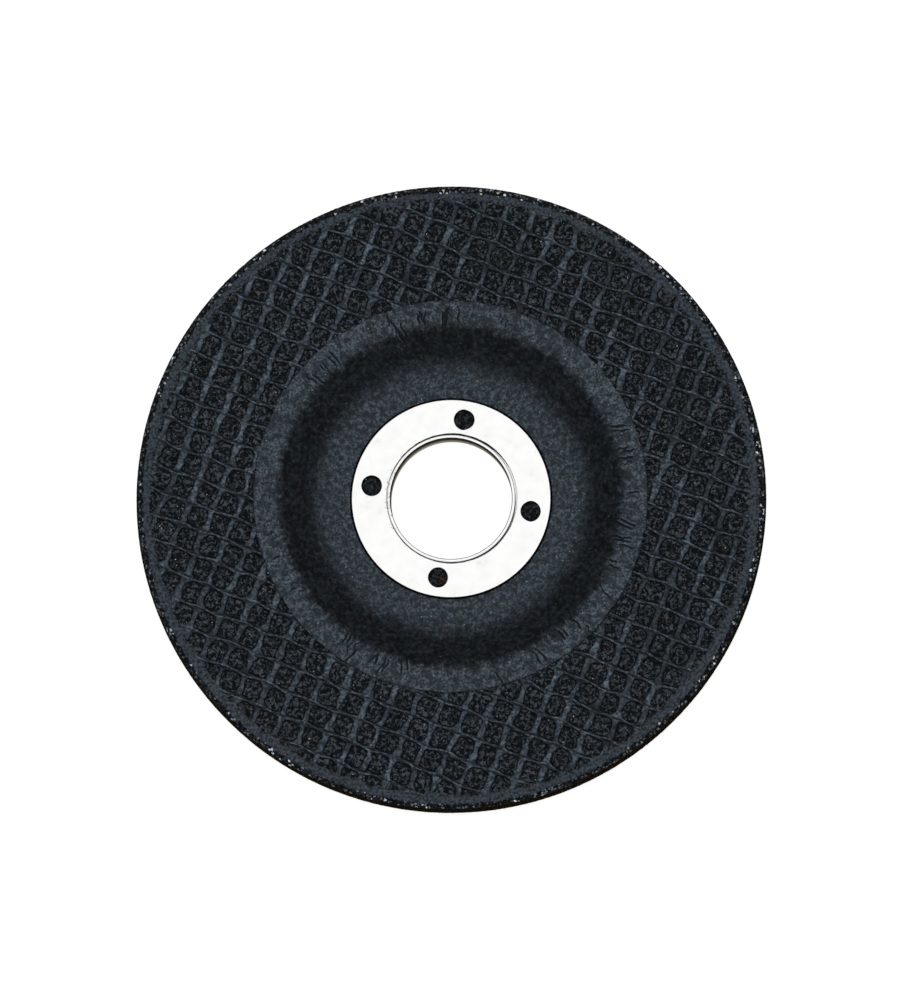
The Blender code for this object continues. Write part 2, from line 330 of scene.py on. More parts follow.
# %% Nodes and links
def new_finish(name):
    """A material, its node tree and its Principled shader."""
    material = bpy.data.materials.new(name)
    material.use_nodes = True
    return material, material.node_tree, material.node_tree.nodes["Principled BSDF"]


def join(tree, socket, value):
    """Links a socket to a socket, or sets its value."""
    if isinstance(value, bpy.types.NodeSocket):
        tree.links.new(value, socket)
    else:
        socket.default_value = value


def add_node(tree, kind, settings, inputs):
    """One node with its settings; an input is linked if it is a socket, and set if it is a value."""
    made = tree.nodes.new("ShaderNode" + kind)
    for key, value in settings.items():
        setattr(made, key, value)
    for key, value in inputs.items():
        join(tree, made.inputs[key], value)
    return made


def maths(tree, operation, first, second):
    """One Math node."""
    return add_node(tree, "Math", {"operation": operation}, {0: first, 1: second}).outputs[0]


def plus(tree, first, second):
    """The sum of two values."""
    return maths(tree, "ADD", first, second)


def times(tree, first, second):
    """The product of two values."""
    return maths(tree, "MULTIPLY", first, second)


def ramp(tree, value, low, high, start=0.0, stop=1.0):
    """A smooth rise from start to stop as the value goes from low to high."""
    inputs = {"Value": value, "From Min": low, "From Max": high, "To Min": start, "To Max": stop}
    return add_node(tree, "MapRange", {"interpolation_type": "SMOOTHSTEP"}, inputs).outputs[0]


def mixed(tree, share, first, second):
    """A colour between two colours."""
    return add_node(tree, "Mix", {"data_type": "RGBA"}, {0: share, 6: first, 7: second}).outputs[2]


def stretched(tree, where, factors):
    """Coordinates multiplied direction by direction; a factor below 1 draws a pattern out that way."""
    return add_node(tree, "VectorMath", {"operation": "MULTIPLY"}, {0: where, 1: factors}).outputs[0]


print("Blender", bpy.app.version_string)

# %% [markdown]
# ## Patterns
# All patterns read Object coordinates in metres, so a texture's scale is one over the size of its
# grain. A ramp makes patches of cloudy noise: its numbers say from which value of the noise to
# which it rises, and between which two levels. Cells make single grains: the distance to the seed
# shapes a grain, and the chances of its cell choose which grains are special.

# %% Patterns
def noise(tree, where, size, detail=2.0, curl=0.0):
    """Cloudy noise with grains of about that size, from 0 to 1; curl twists its shapes."""
    inputs = {"Vector": where, "Scale": 1 / size, "Detail": detail, "Distortion": curl}
    return add_node(tree, "TexNoise", {}, inputs).outputs[0]


def cells(tree, where, size):
    """Nearest-seed cells: the distance to the seed, in cells, and three chances for each cell."""
    made = add_node(tree, "TexVoronoi", {}, {"Vector": where, "Scale": 1 / size})
    chances = add_node(tree, "SeparateColor", {}, {0: made.outputs["Color"]}).outputs
    return made.outputs["Distance"], chances


def spots(tree, distance, reach, chance, rare):
    """Round spots about the seeds of the few cells that have a high chance."""
    return times(tree, ramp(tree, chance, *rare), ramp(tree, distance, *reach))


def bump(tree, height, distance, normal=None):
    """A bumped normal; distance is how high a height of 1 stands, in metres."""
    inputs = {"Height": height, "Distance": distance}
    if normal is not None:
        inputs["Normal"] = normal
    return add_node(tree, "Bump", {}, inputs).outputs[0]


def point_attribute(tree, name):
    """The number that the mesh keeps under that name for each point."""
    return add_node(tree, "Attribute", {"attribute_name": name}, {}).outputs["Fac"]


print("a grain of 0.5 mm takes a scale of", round(1 / (0.5 * MM)))

# %% [markdown]
# ## Dust and gloss
# Nothing on the moulded disc is a pure grey, because fine brown and blue dust lies on it. Mixing a
# dust colour in would lift the blacks, so the dust multiplies each colour instead and leans it a
# little. The gloss is faint and bluish, and one function feeds all of it to the shader.

# %% Dust and gloss
BROWN_LEAN = (1.22, 1.00, 0.86, 1.0)
BLUE_LEAN = (0.73, 1.02, 1.25, 1.0)
DUST_SIZE = 0.31 * MM
BLUE_GLOSS = (0.74, 0.86, 1.0, 1.0)
PLAIN_GLOSS = (1.0, 1.0, 1.0, 1.0)


def dusted(tree, where, colour):
    """A colour with brown and blue dust in it: fine noise leans it a little either way."""
    share = ramp(tree, noise(tree, where, DUST_SIZE), 0.34, 0.66)
    return stretched(tree, colour, mixed(tree, share, BROWN_LEAN, BLUE_LEAN))


def position(tree):
    """Object coordinates: whole, their flat part, the distance from the axis, and x, y, z apart."""
    where = add_node(tree, "TexCoord", {}, {}).outputs["Object"]
    parts = add_node(tree, "SeparateXYZ", {}, {0: where}).outputs
    flat = add_node(tree, "CombineXYZ", {}, {0: parts[0], 1: parts[1]}).outputs[0]
    radius = add_node(tree, "VectorMath", {"operation": "LENGTH"}, {0: flat}).outputs["Value"]
    return where, flat, radius, parts


def dress(tree, shader, colour, roughness, normal, gloss, tint=BLUE_GLOSS):
    """Feeds the shader; the gloss is faint and blue on all of the moulded disc."""
    join(tree, shader.inputs["Base Color"], colour)
    join(tree, shader.inputs["Roughness"], roughness)
    shader.inputs["Specular IOR Level"].default_value = gloss
    shader.inputs["Specular Tint"].default_value = tint
    if normal is not None:
        join(tree, shader.inputs["Normal"], normal)


print("dust of", DUST_SIZE / MM, "mm")

# %% [markdown]
# ## The finish of the abrasive
# Close up, the body is black resin that binds broken grit. Most grains are coated and only a
# little lighter than the resin: curled noise draws them as short, worm-like crests that come and
# go in patches, and a few are browner. The pale grain on the raised crests and the black between
# them are partly painted light and shade of that relief. Very few grains flash: random cells pick
# those and paint their glint into the colour as a pale spot. The bumps follow the crests and cells.
# The same nodes serve every abrasive piece, with the crests turned down at the rim and in the key
# holes.

# %% Abrasive
RESIN_BLACK = (0.0024, 0.0027, 0.0030, 1.0)
GRAIN_GREY = (0.0610, 0.0720, 0.0825, 1.0)
GRAIN_BROWN = (0.0700, 0.0715, 0.0715, 1.0)
# Painted glint: the pale colour of a grain face that mirrors the lamp.
PAINTED_GLINT = (0.52, 0.56, 0.62, 1.0)
CELL_SIZE = 0.36 * MM
CREST_SIZE = 0.60 * MM
PATCH_SIZE = 0.9 * MM
GRIT_GLOSS = 0.06


def abrasive_nodes(tree, where, lit_crest_level=1.0):
    """The colour, roughness and bumped normal of broken grit in black resin: raised noise times
    patches gives the share of pale grain, partly painted relief light and shade, and painted glints
    cover both."""
    distance, chances = cells(tree, where, CELL_SIZE)
    # Partly painted light and shade: pale grain where the noise is raised, black resin below it.
    lit_crest = ramp(tree, noise(tree, where, CREST_SIZE, 0.8, 1.0), 0.43, 0.68)
    patchy = ramp(tree, noise(tree, where, PATCH_SIZE), 0.36, 0.64, 0.50 * lit_crest_level, lit_crest_level)
    grain = mixed(tree, ramp(tree, chances[2], 0.70, 0.90), GRAIN_GREY, GRAIN_BROWN)
    colour = mixed(tree, times(tree, lit_crest, patchy), RESIN_BLACK, grain)
    # Painted highlights: a few cells get a pale spot for their glint.
    glint_share = spots(tree, distance, (0.34, 0.18), chances[1], (0.98, 0.99))
    colour = mixed(tree, times(tree, glint_share, chances[0]), colour, PAINTED_GLINT)
    roughness = ramp(tree, chances[2], 0.0, 1.0, 0.40, 0.75)
    normal = bump(tree, lit_crest, 0.05 * MM)
    return colour, roughness, bump(tree, distance, 0.06 * MM, normal)


def abrasive_finish():
    """Grit and resin all over."""
    material, tree, shader = new_finish("grit_in_resin")
    where = position(tree)[0]
    colour, roughness, normal = abrasive_nodes(tree, where)
    dress(tree, shader, dusted(tree, where, colour), roughness, normal, GRIT_GLOSS)
    return material


GRIT = abrasive_finish()
print(GRIT.name, len(GRIT.node_tree.nodes), "nodes")

# %% [markdown]
# ## The rim's finish
# The rim has two looks side by side: a smooth moulded band that ends the cloth, then a broken
# edge with glints painted on as pale grain spots. Most are dim, and the bright ones gather in
# places. Both looks meet without a seam on the real disc, so one finish mixes them by the distance
# from the axis and by height, and the band ends a little further in on the far side. The side wall
# below is a dull brown-black that mirrors nothing, even at a flat angle, and that takes a finish of
# its own.

# %% The broken edge
BAND_END = DISC_RADIUS - 1.3 * MM
BAND_BITE = 1.3 * MM
BAND_SHIFT = 0.004
# Painted glints: white and tan colours for grain faces that mirror the lamp.
PAINTED_GLINT_WHITE = (0.78, 0.82, 0.88, 1.0)
PAINTED_GLINT_TAN = (0.52, 0.50, 0.43, 1.0)
GLINT_SIZE = 0.62 * MM


def painted_glint_nodes(tree, where):
    """(share, colour) of the painted glints: cells with an outline broken by fine noise; each is a
    little bright, and rare ones are fully bright where they gather."""
    distance, chances = cells(tree, where, GLINT_SIZE)
    broken = ramp(tree, noise(tree, where, 0.26 * MM), 0.30, 0.70, -0.20, 0.12)
    gathered = ramp(tree, noise(tree, where, 2.6 * MM), 0.38, 0.60, 0.30, 1.0)
    rare = times(tree, ramp(tree, chances[0], 0.855, 0.955), gathered)
    bright = plus(tree, ramp(tree, chances[0], 0.20, 0.90, 0.0, 0.20), rare)
    share = times(tree, bright, ramp(tree, plus(tree, distance, broken), 0.46, 0.28))
    return share, mixed(tree, ramp(tree, chances[1], 0.74, 0.80), PAINTED_GLINT_WHITE, PAINTED_GLINT_TAN)


def band_share(tree, where, radius, parts):
    """1 on the moulded band and 0 past its bitten end and below the front: noise times the bite and
    y times the shift are added to the radius first."""
    bitten = times(tree, noise(tree, where, 0.85 * MM, 3.0), BAND_BITE)
    ragged = plus(tree, plus(tree, radius, bitten), times(tree, parts[1], BAND_SHIFT))
    inward = ramp(tree, ragged, BAND_END + 0.60 * MM, BAND_END + 0.44 * MM)
    return times(tree, inward, ramp(tree, parts[2], FRONT_Z - 1.2 * MM, FRONT_Z - 0.5 * MM))


print("band ends", round(BAND_END / MM, 2), "mm from the axis")

# %% The rim's finish
BAND_DARK = (0.0105, 0.0120, 0.0138, 1.0)
BAND_LIGHT = (0.0610, 0.0715, 0.0845, 1.0)
EDGE_CREST = 0.25
EDGE_GLOSS = 0.04


def rim_finish():
    """Moulded band and an edge with painted glints, mixed by radius."""
    material, tree, shader = new_finish("rim_of_the_disc")
    where, _, radius, parts = position(tree)
    colour, roughness, normal = abrasive_nodes(tree, where, EDGE_CREST)
    # Painted highlights: the glint spots cover the grit of the edge.
    glint_share, glint_colour = painted_glint_nodes(tree, where)
    colour = mixed(tree, glint_share, colour, glint_colour)
    band = band_share(tree, where, radius, parts)
    cloudy = noise(tree, where, 0.50 * MM, 4.0)
    moulded = mixed(tree, ramp(tree, cloudy, 0.27, 0.73), BAND_DARK, BAND_LIGHT)
    colour = dusted(tree, where, mixed(tree, band, colour, moulded))
    smooth = ramp(tree, cloudy, 0.2, 0.8, 0.55, 0.38)
    roughness = add_node(tree, "Mix", {}, {0: band, 2: roughness, 3: smooth}).outputs[0]
    fine = bump(tree, noise(tree, where, 0.3 * MM, 3.0), 0.05 * MM)
    normal = add_node(tree, "Mix", {"data_type": "VECTOR"}, {0: band, 4: normal, 5: fine}).outputs[1]
    dress(tree, shader, colour, roughness, normal, EDGE_GLOSS)
    return material


RIM = rim_finish()
print(RIM.name, len(RIM.node_tree.nodes), "nodes")

# %% The side wall
WALL_BLACK = (0.0058, 0.0042, 0.0019, 1.0)
WALL_BROWN = (0.0290, 0.0222, 0.0112, 1.0)
WALL_GLINT = 0.35


def wall_finish():
    """The dull side of the disc: brown-black with a few painted glints."""
    material, tree, shader = new_finish("side_wall")
    where = position(tree)[0]
    cloudy = noise(tree, where, 0.45 * MM, 3.0)
    colour = mixed(tree, ramp(tree, cloudy, 0.42, 0.68), WALL_BLACK, WALL_BROWN)
    # Painted highlights: rare pale spots for glints.
    distance, chances = cells(tree, where, 0.7 * MM)
    glint = spots(tree, distance, (0.26, 0.12), chances[0], (0.90, 0.94))
    colour = mixed(tree, times(tree, glint, WALL_GLINT), colour, PAINTED_GLINT_WHITE)
    dress(tree, shader, colour, 0.9, bump(tree, cloudy, 0.08 * MM), 0.0, PLAIN_GLOSS)
    return material


SIDE_WALL = wall_finish()
print(SIDE_WALL.name, len(SIDE_WALL.node_tree.nodes), "nodes")

# %% [markdown]
# ## The front grit
# Between the cover and the rim the grit shows in the windows of the cloth. A flat ring with a bump
# would look painted on from the side. Here the grains are real: a polar grid finer than a grain,
# lifted by the cell function, closed by a plain ring below. Near the rim the grit rises, because
# the moulded band covers the end of the cloth.

# %% The front grit ring
GRIT_INNER = COVER_RADIUS - 0.6 * MM
GRIT_OUTER = CLOTH_RADIUS + 0.35 * MM
GRIT_TOP = FRONT_Z - 0.38 * MM
GRIT_FLOOR = FRONT_Z - 1.3 * MM
COARSE_GRAIN, FINE_GRAIN, HOLLOW = 0.46 * MM, 0.30 * MM, 1.6 * MM
RIM_RISE = 0.22 * MM
GROOVE = 0.12
FRONT_ROWS, FRONT_COLUMNS = 78, 1120


def front_grit():
    """Closed ring: a granular top and two plain rows below it. The lift is coarse grains, finer
    ones and shallow hollows, less a groove between neighbours."""
    line = level_line(np.linspace(GRIT_INNER, GRIT_OUTER, FRONT_ROWS), GRIT_TOP)
    top = turned(line, FRONT_COLUMNS)
    coarse, groove = grains(top, COARSE_GRAIN, 11)
    fine, _ = grains(top, FINE_GRAIN, 31)
    hollows = soft_noise(top, HOLLOW, 5)
    lift = 0.13 * coarse + 0.06 * fine + 0.05 * hollows - 0.10 * bell(groove, GROOVE)
    edge = smooth_step(line[:, 0], GRIT_INNER, GRIT_INNER + 0.3 * MM)
    top[..., 2] += np.clip(lift, -0.25, 0.16) * MM * edge[:, None]
    ending = line[:, :1] + 0.7 * MM * soft_noise(top, 1.5 * MM, 6)
    top[..., 2] += RIM_RISE * smooth_step(ending, CLOTH_RADIUS - 1.4 * MM, CLOTH_RADIUS - 0.4 * MM)
    below = turned(level_line([GRIT_OUTER, GRIT_INNER], GRIT_FLOOR), FRONT_COLUMNS)
    return np.concatenate([top, below])


ring_piece("grit_face", front_grit(), GRIT, "abrasive", ["abrasive_body"])

# %% [markdown]
# ## The rim
# The rim is one profile turned round the axis: inner wall, smooth band, broken edge, outer wall,
# back chamfer and back land. The outer wall leans out a little towards the back, as it does on a
# part that leaves a mould. Grains push the profile along its own normal, little on the band and
# much on the broken edge. Its inner edge wanders, because the last windows of the cloth end
# raggedly.

# %% The rim's profile
RIM_STEP = 0.25 * MM
RIM_INNER = CLOTH_RADIUS - 0.25 * MM
WALL_TOP = FRONT_Z - 0.8 * MM
WALL_LEAN_END = WALL_TOP - 2.6 * MM
DRAFT = 0.40 * MM
CHAMFER = 0.6 * MM
BAND_HEIGHT = FRONT_Z - 0.02 * MM


def resampled(corners, spacing):
    """Points at even steps along a line of corners."""
    corners = np.array(corners)
    lengths = np.linalg.norm(np.diff(corners, axis=0), axis=1)
    reached = np.concatenate([[0], np.cumsum(lengths)])
    wanted = np.linspace(0, reached[-1], int(reached[-1] / spacing) + 1)
    return np.stack([np.interp(wanted, reached, corners[:, k]) for k in range(2)], axis=1)


def rim_line():
    """The visible side of the rim's section, from the cloth's edge over the front to the back."""
    inner_wall = [(RIM_INNER - 0.2 * MM, FRONT_Z - 0.45 * MM), (RIM_INNER + 0.25 * MM, FRONT_Z - 0.16 * MM)]
    band = [(RIM_INNER + 0.8 * MM, BAND_HEIGHT), (BAND_END - 0.15 * MM, BAND_HEIGHT)]
    edge = [(BAND_END + 0.1 * MM, FRONT_Z - 0.10 * MM), (DISC_RADIUS - DRAFT, WALL_TOP + 0.1 * MM)]
    wall = [(DISC_RADIUS - 0.8 * DRAFT, WALL_TOP - 0.2 * MM), (DISC_RADIUS, WALL_LEAN_END)]
    back = [(DISC_RADIUS, BACK_Z + CHAMFER), (DISC_RADIUS - CHAMFER, BACK_Z), (RIM_INNER, BACK_Z)]
    return resampled(inner_wall + band + edge + wall + back, RIM_STEP)


print("rim profile", len(rim_line()), "points")

# %% The rim's grains
RIM_COLUMNS = 1400
RIM_GRAIN = 0.50 * MM
WANDER_END = RIM_INNER + 1.3 * MM
BAND_GRAIN, WALL_GRAIN, EDGE_GRAIN = 0.12, 0.16, 0.6


def rim_roughness(radius, height):
    """How much the grains stand out along the profile: band, broken edge, wall, chamfer and back."""
    edge = EDGE_GRAIN * smooth_step(radius, BAND_END - 0.1 * MM, BAND_END + 0.25 * MM)
    rough = np.where(height < WALL_TOP - 0.1 * MM, WALL_GRAIN, np.maximum(edge, BAND_GRAIN))
    return np.where(height < BACK_Z + CHAMFER, EDGE_GRAIN, rough)


def inner_wander(radius):
    """How far the band's inner side strays at each angle: two sizes of noise, fading outwards."""
    arc = around(RIM_COLUMNS) * DISC_RADIUS
    wander = 0.35 * MM * line_noise(arc, 2.3 * MM, 3) + 0.25 * MM * line_noise(arc, 0.8 * MM, 2)
    return wander * (1 - smooth_step(radius, RIM_INNER, WANDER_END))[:, None]


def rim_grid():
    """The turned profile with its grains, and a plain inner wall that closes it."""
    line = rim_line()
    along = np.gradient(line, axis=0)
    normal = np.stack([-along[:, 1], along[:, 0]], 1) / np.linalg.norm(along, axis=1)[:, None]
    grid = turned(line, RIM_COLUMNS)
    radius, height = line[:, 0], line[:, 1]
    coarse, groove = grains(grid, RIM_GRAIN, 47)
    lift = np.clip(0.18 * coarse - 0.10 * bell(groove, GROOVE), -0.25, 0.10) * MM
    lift = lift * rim_roughness(radius, height)[:, None]
    out = normal[:, :1] * lift + np.where(height[:, None] > WALL_TOP, inner_wander(radius), 0)
    flat = np.hypot(grid[..., 0], grid[..., 1])
    grid[..., :2] *= ((flat + out) / flat)[..., None]
    grid[..., 2] += normal[:, 1:] * lift
    middle = turned(level_line([RIM_INNER], (FRONT_Z + BACK_Z) / 2), RIM_COLUMNS)
    return np.concatenate([grid, middle])


grit_rim = ring_piece("grit_rim", rim_grid(), RIM, "abrasive", ["abrasive_body"])
face_radius, face_height = face_centres(grit_rim)
on_wall = (face_height < WALL_TOP) & (face_height > BACK_Z + CHAMFER)
second_finish(grit_rim, SIDE_WALL, on_wall & (face_radius > DISC_RADIUS - CHAMFER))

# %% [markdown]
# ## The back grit
# The back of the disc follows the same dish line at the full thickness. Nothing may stand below
# the plane that the hub rests on, so here the grains only dig in, never out. Between the strands
# of the back cloth the grit lies deeper, so that the cloth stands proud of it. A few plain rows
# inside the disc close the ring.

# %% The back grit ring
BACK_INNER = SEAT_RADIUS + 0.05 * MM
BACK_OUTER = BACK_CLOTH_RADIUS + 0.3 * MM
BACK_ROWS, BACK_HIDDEN_ROWS, BACK_COLUMNS = 84, 12, 500
BACK_SKIN = 0.9 * MM
BACK_CLOTH_START = 24.0 * MM
BACK_GRAIN = 0.62 * MM
BORE_EASE, WINDOW_DEPTH = 0.25, 0.15


def back_rows(start, stop, rows, lift):
    """A ring of rows on the back's dish line, lifted inwards."""
    radius = np.linspace(start, stop, rows)[:, None]
    angle = around(BACK_COLUMNS)
    lift = np.broadcast_to(lift, (rows, BACK_COLUMNS))
    return on_dish(radius * np.cos(angle), radius * np.sin(angle), THICKNESS, lift)


def back_grit():
    """Closed ring: a granular surface at the full depth, and a plain one a little inside it."""
    shown = back_rows(BACK_INNER, BACK_OUTER, BACK_ROWS, 0.0)
    coarse, groove = grains(shown, BACK_GRAIN, 71)
    dig = np.clip(0.09 - 0.10 * coarse + 0.07 * bell(groove, 0.15), 0, 0.3)
    radius = np.linspace(BACK_INNER, BACK_OUTER, BACK_ROWS)[:, None]
    edge = BORE_EASE * (1 - smooth_step(radius, BACK_INNER, BACK_INNER + 0.6 * MM))
    windows = smooth_step(radius, BACK_CLOTH_START - 1.0 * MM, BACK_CLOTH_START + 0.4 * MM)
    dig = (dig + edge + WINDOW_DEPTH * windows) * MM
    shown = back_rows(BACK_INNER, BACK_OUTER, BACK_ROWS, dig)
    return np.concatenate([shown, back_rows(BACK_OUTER, BACK_INNER, BACK_HIDDEN_ROWS, BACK_SKIN)])


ring_piece("grit_back", back_grit(), GRIT, "abrasive", ["abrasive_body"])

# %% [markdown]
# ## The cloth's finish
# The glass cloth is soaked with resin, so it isn't white: it is a dull blue-grey with faint
# lengthwise streaks from its fibres, and blotches where more resin covers it. Each strand carries
# a UV map, along and across it in metres, so the streaks follow the strand round any bend. It
# also carries a share from its own height as an attribute: painted light on its high places, and
# painted shade down its sides, which turn as black as the resin.

# %% Cloth
CLOTH_DARK = (0.0016, 0.0019, 0.0022, 1.0)
CLOTH_LIGHT = (0.1120, 0.1360, 0.1600, 1.0)
CLOTH_GLOSS = 0.18
FIBRE_STRETCH = 0.12
FIBRE_WIDTH = 0.16 * MM


def cloth_finish():
    """Blue-grey strands: blotches times speckle, plus fibre streaks, all times the painted height shade."""
    material, tree, shader = new_finish("soaked_glass_cloth")
    where = position(tree)[0]
    lengthwise = add_node(tree, "UVMap", {"uv_map": "strand"}, {}).outputs[0]
    fibre = noise(tree, stretched(tree, lengthwise, (FIBRE_STRETCH, 1.0, 1.0)), FIBRE_WIDTH)
    blotch = noise(tree, where, 1.3 * MM)
    speckle = noise(tree, where, 0.45 * MM, 3.0)
    worn = ramp(tree, blotch, 0.35, 0.65, 0.50, 1.0)
    share = times(tree, worn, ramp(tree, speckle, 0.36, 0.66, 0.08, 1.0))
    share = plus(tree, times(tree, share, 1.15), times(tree, fibre, 0.16))
    # Painted shade and light: black down the strand's sides, pale on its tops.
    share = times(tree, share, point_attribute(tree, "lit_crest"))
    colour = dusted(tree, where, mixed(tree, share, CLOTH_DARK, CLOTH_LIGHT))
    roughness = ramp(tree, blotch, 0.3, 0.7, 0.56, 0.40)
    normal = bump(tree, speckle, 0.05 * MM, bump(tree, fibre, 0.020 * MM))
    dress(tree, shader, colour, roughness, normal, CLOTH_GLOSS)
    return material


CLOTH = cloth_finish()
print(CLOTH.name, len(CLOTH.node_tree.nodes), "nodes")

# %% [markdown]
# ## Strands of cloth
# A coarse leno cloth has flat wide bands one way. The other way it has pairs of thin yarns that
# swap sides between two bands, one passing over each band and its partner under it. A woven
# texture could be tiled, but the real cloth is pulled out of true by the press. So each strand is
# a closed strip along its own line, and the whole cloth is bent by one slow warp and a finer
# ripple, with one place where it was pulled aside.

# %% Where the strands run
BAND_PITCH, BAND_OFFSET = 4.363 * MM, -0.70 * MM
YARN_PITCH, YARN_OFFSET = 4.295 * MM, -1.03 * MM
BANDS, YARNS = (BAND_PITCH, BAND_OFFSET), (YARN_PITCH, YARN_OFFSET)
FRONT_ANGLE = math.radians(-21.5)
BACK_ANGLE = math.radians(34.0)
RIM_MARGIN = 0.4 * MM


def places(pitch, offset, reach):
    """Where the parallel strands of one kind lie, within reach of the axis."""
    first = math.ceil((-reach - offset) / pitch)
    last = math.floor((reach - offset) / pitch)
    return offset + pitch * np.arange(first, last + 1)


def runs(pitch, offset, inner, outer):
    """(place, start, stop) of each straight run of strand over the ring between two radii."""
    found = []
    for place in places(pitch, offset, outer - RIM_MARGIN):
        end = math.sqrt(outer**2 - place**2)
        if abs(place) < inner:
            start = math.sqrt(inner**2 - place**2)
            found += [(place, -end, -start), (place, start, end)]
        else:
            found.append((place, -end, end))
    return found


def from_nearest(values, pitch, offset):
    """How far each value is from the nearest strand of a family, and that strand's number."""
    number = np.round((values - offset) / pitch)
    return values - offset - pitch * number, number


print(len(runs(*BANDS, COVER_RADIUS, CLOTH_RADIUS)), "runs of band on the front")

# %% How the press bent the cloth
PULL_PLACE, PULL_WIDTH, PULL = -41.0 * MM, 9.0 * MM, 0.5 * MM
WARP, WARP_SIZE = 0.30 * MM, 17.0 * MM
RIPPLE, RIPPLE_SIZE = 0.17 * MM, 4.2 * MM


def cloth_to_disc(p, q, angle):
    """Cloth coordinates, bent by warp, ripple and pull, then turned onto the disc."""
    flat = np.stack([p, q, np.full_like(p, angle)], axis=-1)
    pull = PULL * bell(p - PULL_PLACE, PULL_WIDTH)
    p = p + pull + WARP * soft_noise(flat, WARP_SIZE, 21) + RIPPLE * soft_noise(flat, RIPPLE_SIZE, 23)
    q = q + WARP * soft_noise(flat, WARP_SIZE, 22) + RIPPLE * soft_noise(flat, RIPPLE_SIZE, 24)
    return p * math.cos(angle) - q * math.sin(angle), p * math.sin(angle) + q * math.cos(angle)


pulled = cloth_to_disc(np.array([PULL_PLACE]), np.zeros(1), 0.0)[0][0] - PULL_PLACE
print("the pulled side moves by", round(pulled / MM, 2), "mm")

# %% [markdown]
# ## The shape of a band and of a pair of yarns
# Both shapes are functions of how far along and how far across the strand a point is. A band is a
# low plateau that sways a little and has ragged edges. It widens beside each yarn, which rounds
# the corners of the windows, and a fine notch runs beside the yarn that crosses it. A pair of
# yarns is two round ridges on a low skirt of resin, and the higher surface wins at each point.
# Both yarns wobble, and the notch has to follow them, so they share one function.

# %% What both shapes share
STRAND_ROOT = 0.55 * MM
BAND_HALF, BAND_ACROSS = 0.72 * MM, 9
CLOSE_REACH, CLOSE_STEPS = 0.55, 12
EVEN_KEPT = 0.62 * MM
FINE_STEP, FEWEST_STEPS = 0.5 * MM, 5


def yarn_wobble(along, place):
    """How far the yarns at a place lie off their straight line."""
    return 0.14 * MM * line_noise(along + 7 * place, 1.9 * MM, 61)


def along_run(start, stop, step, pitch, offset):
    """Places along a run: even steps and, if they are fine, closer ones where the other family
    crosses."""
    even = np.linspace(start, stop, max(int((stop - start) / step), FEWEST_STEPS))
    if step > FINE_STEP:
        return even
    gap, _ = from_nearest(even, pitch, offset)
    crossings = places(pitch, offset, max(abs(start), abs(stop)))
    close = (crossings[:, None] + np.linspace(-CLOSE_REACH, CLOSE_REACH, CLOSE_STEPS) * MM).ravel()
    close = close[(close > start) & (close < stop)]
    return np.unique(np.concatenate([even[[0, -1]], even[1:-1][np.abs(gap[1:-1]) > EVEN_KEPT], close]))


print("steps of one run", len(along_run(0, 20 * MM, 0.4 * MM, *YARNS)))

# %% The shape of a band
CORNER_REACH, CORNER_WIDTH = 0.72 * MM, 0.58 * MM
NOTCH_WIDTH, NOTCH_DEPTH = 0.11 * MM, 0.28
BAND_LEVEL = -0.045


def band_half_width(place, q, t, corner):
    """Half the width at each place: a ragged plain width plus a corner beside each yarn."""
    side = np.where(t < 0, -1.0, 1.0) + 0 * q
    where = np.stack([q, np.full_like(q, place), side * 40 * MM], axis=-1)
    ragged = 0.52 * soft_noise(where, 0.7 * MM, 51) + 0.50 * soft_noise(where, 2.4 * MM, 52)
    ragged = np.clip(ragged, -0.5, 0.8)
    return BAND_HALF * (1 + ragged) + CORNER_WIDTH * corner * (1 + 1.5 * ragged)


def notch_beside_yarn(place, q, across, beside, number):
    """A groove from 0 to 1 that follows the wobbling yarn, on its left or right by turns."""
    turn = np.cos(math.pi * np.round((place - BAND_OFFSET) / BAND_PITCH))
    wobble = yarn_wobble(place + across, YARN_OFFSET + YARN_PITCH * number)
    notch = bell(beside - wobble + NOTCH_WIDTH * turn, NOTCH_WIDTH)
    return notch * (0.55 + 0.45 * line_noise(q + 3 * place, 2.2 * MM, 55))


def band_shape(place, along):
    """(across, lift) of a band's top: a plateau whose width and level change along it. The level
    is slow noise and fine noise, less the corner's dip and the notch."""
    t = np.linspace(-1, 1, BAND_ACROSS)[None, :]
    q = along[:, None] + 0 * t
    beside, number = from_nearest(q, YARN_PITCH, YARN_OFFSET)
    corner = bell(beside, CORNER_REACH)
    sway = 0.20 * MM * line_noise(q + 5 * place, 3.3 * MM, 56)
    across = t * band_half_width(place, q, t, corner) + sway
    notch = notch_beside_yarn(place, q, across, beside, number)
    level = BAND_LEVEL + 0.07 * line_noise(q + place, 2.9 * MM, 53) - 0.04 * corner - NOTCH_DEPTH * notch
    level = level + 0.05 * soft_noise(np.stack([q, across, 0 * q + place], -1), 0.45 * MM, 54)
    plateau = (1 - np.abs(t) ** 4) ** 0.7
    return across, -STRAND_ROOT + (STRAND_ROOT + level * MM) * plateau


test_run = np.linspace(0, 20, 200) * MM
print("band", (np.ptp(band_shape(0.0, test_run)[0], axis=1).mean() / MM).round(2), "mm wide on average")

# %% The shape of a pair of yarns
YARN_HALF, YARN_ACROSS = 0.55 * MM, 13
YARN_RIDGE = 0.20 * MM
YARN_ROUND = 0.17 * MM
YARN_SWING = 0.24 * MM


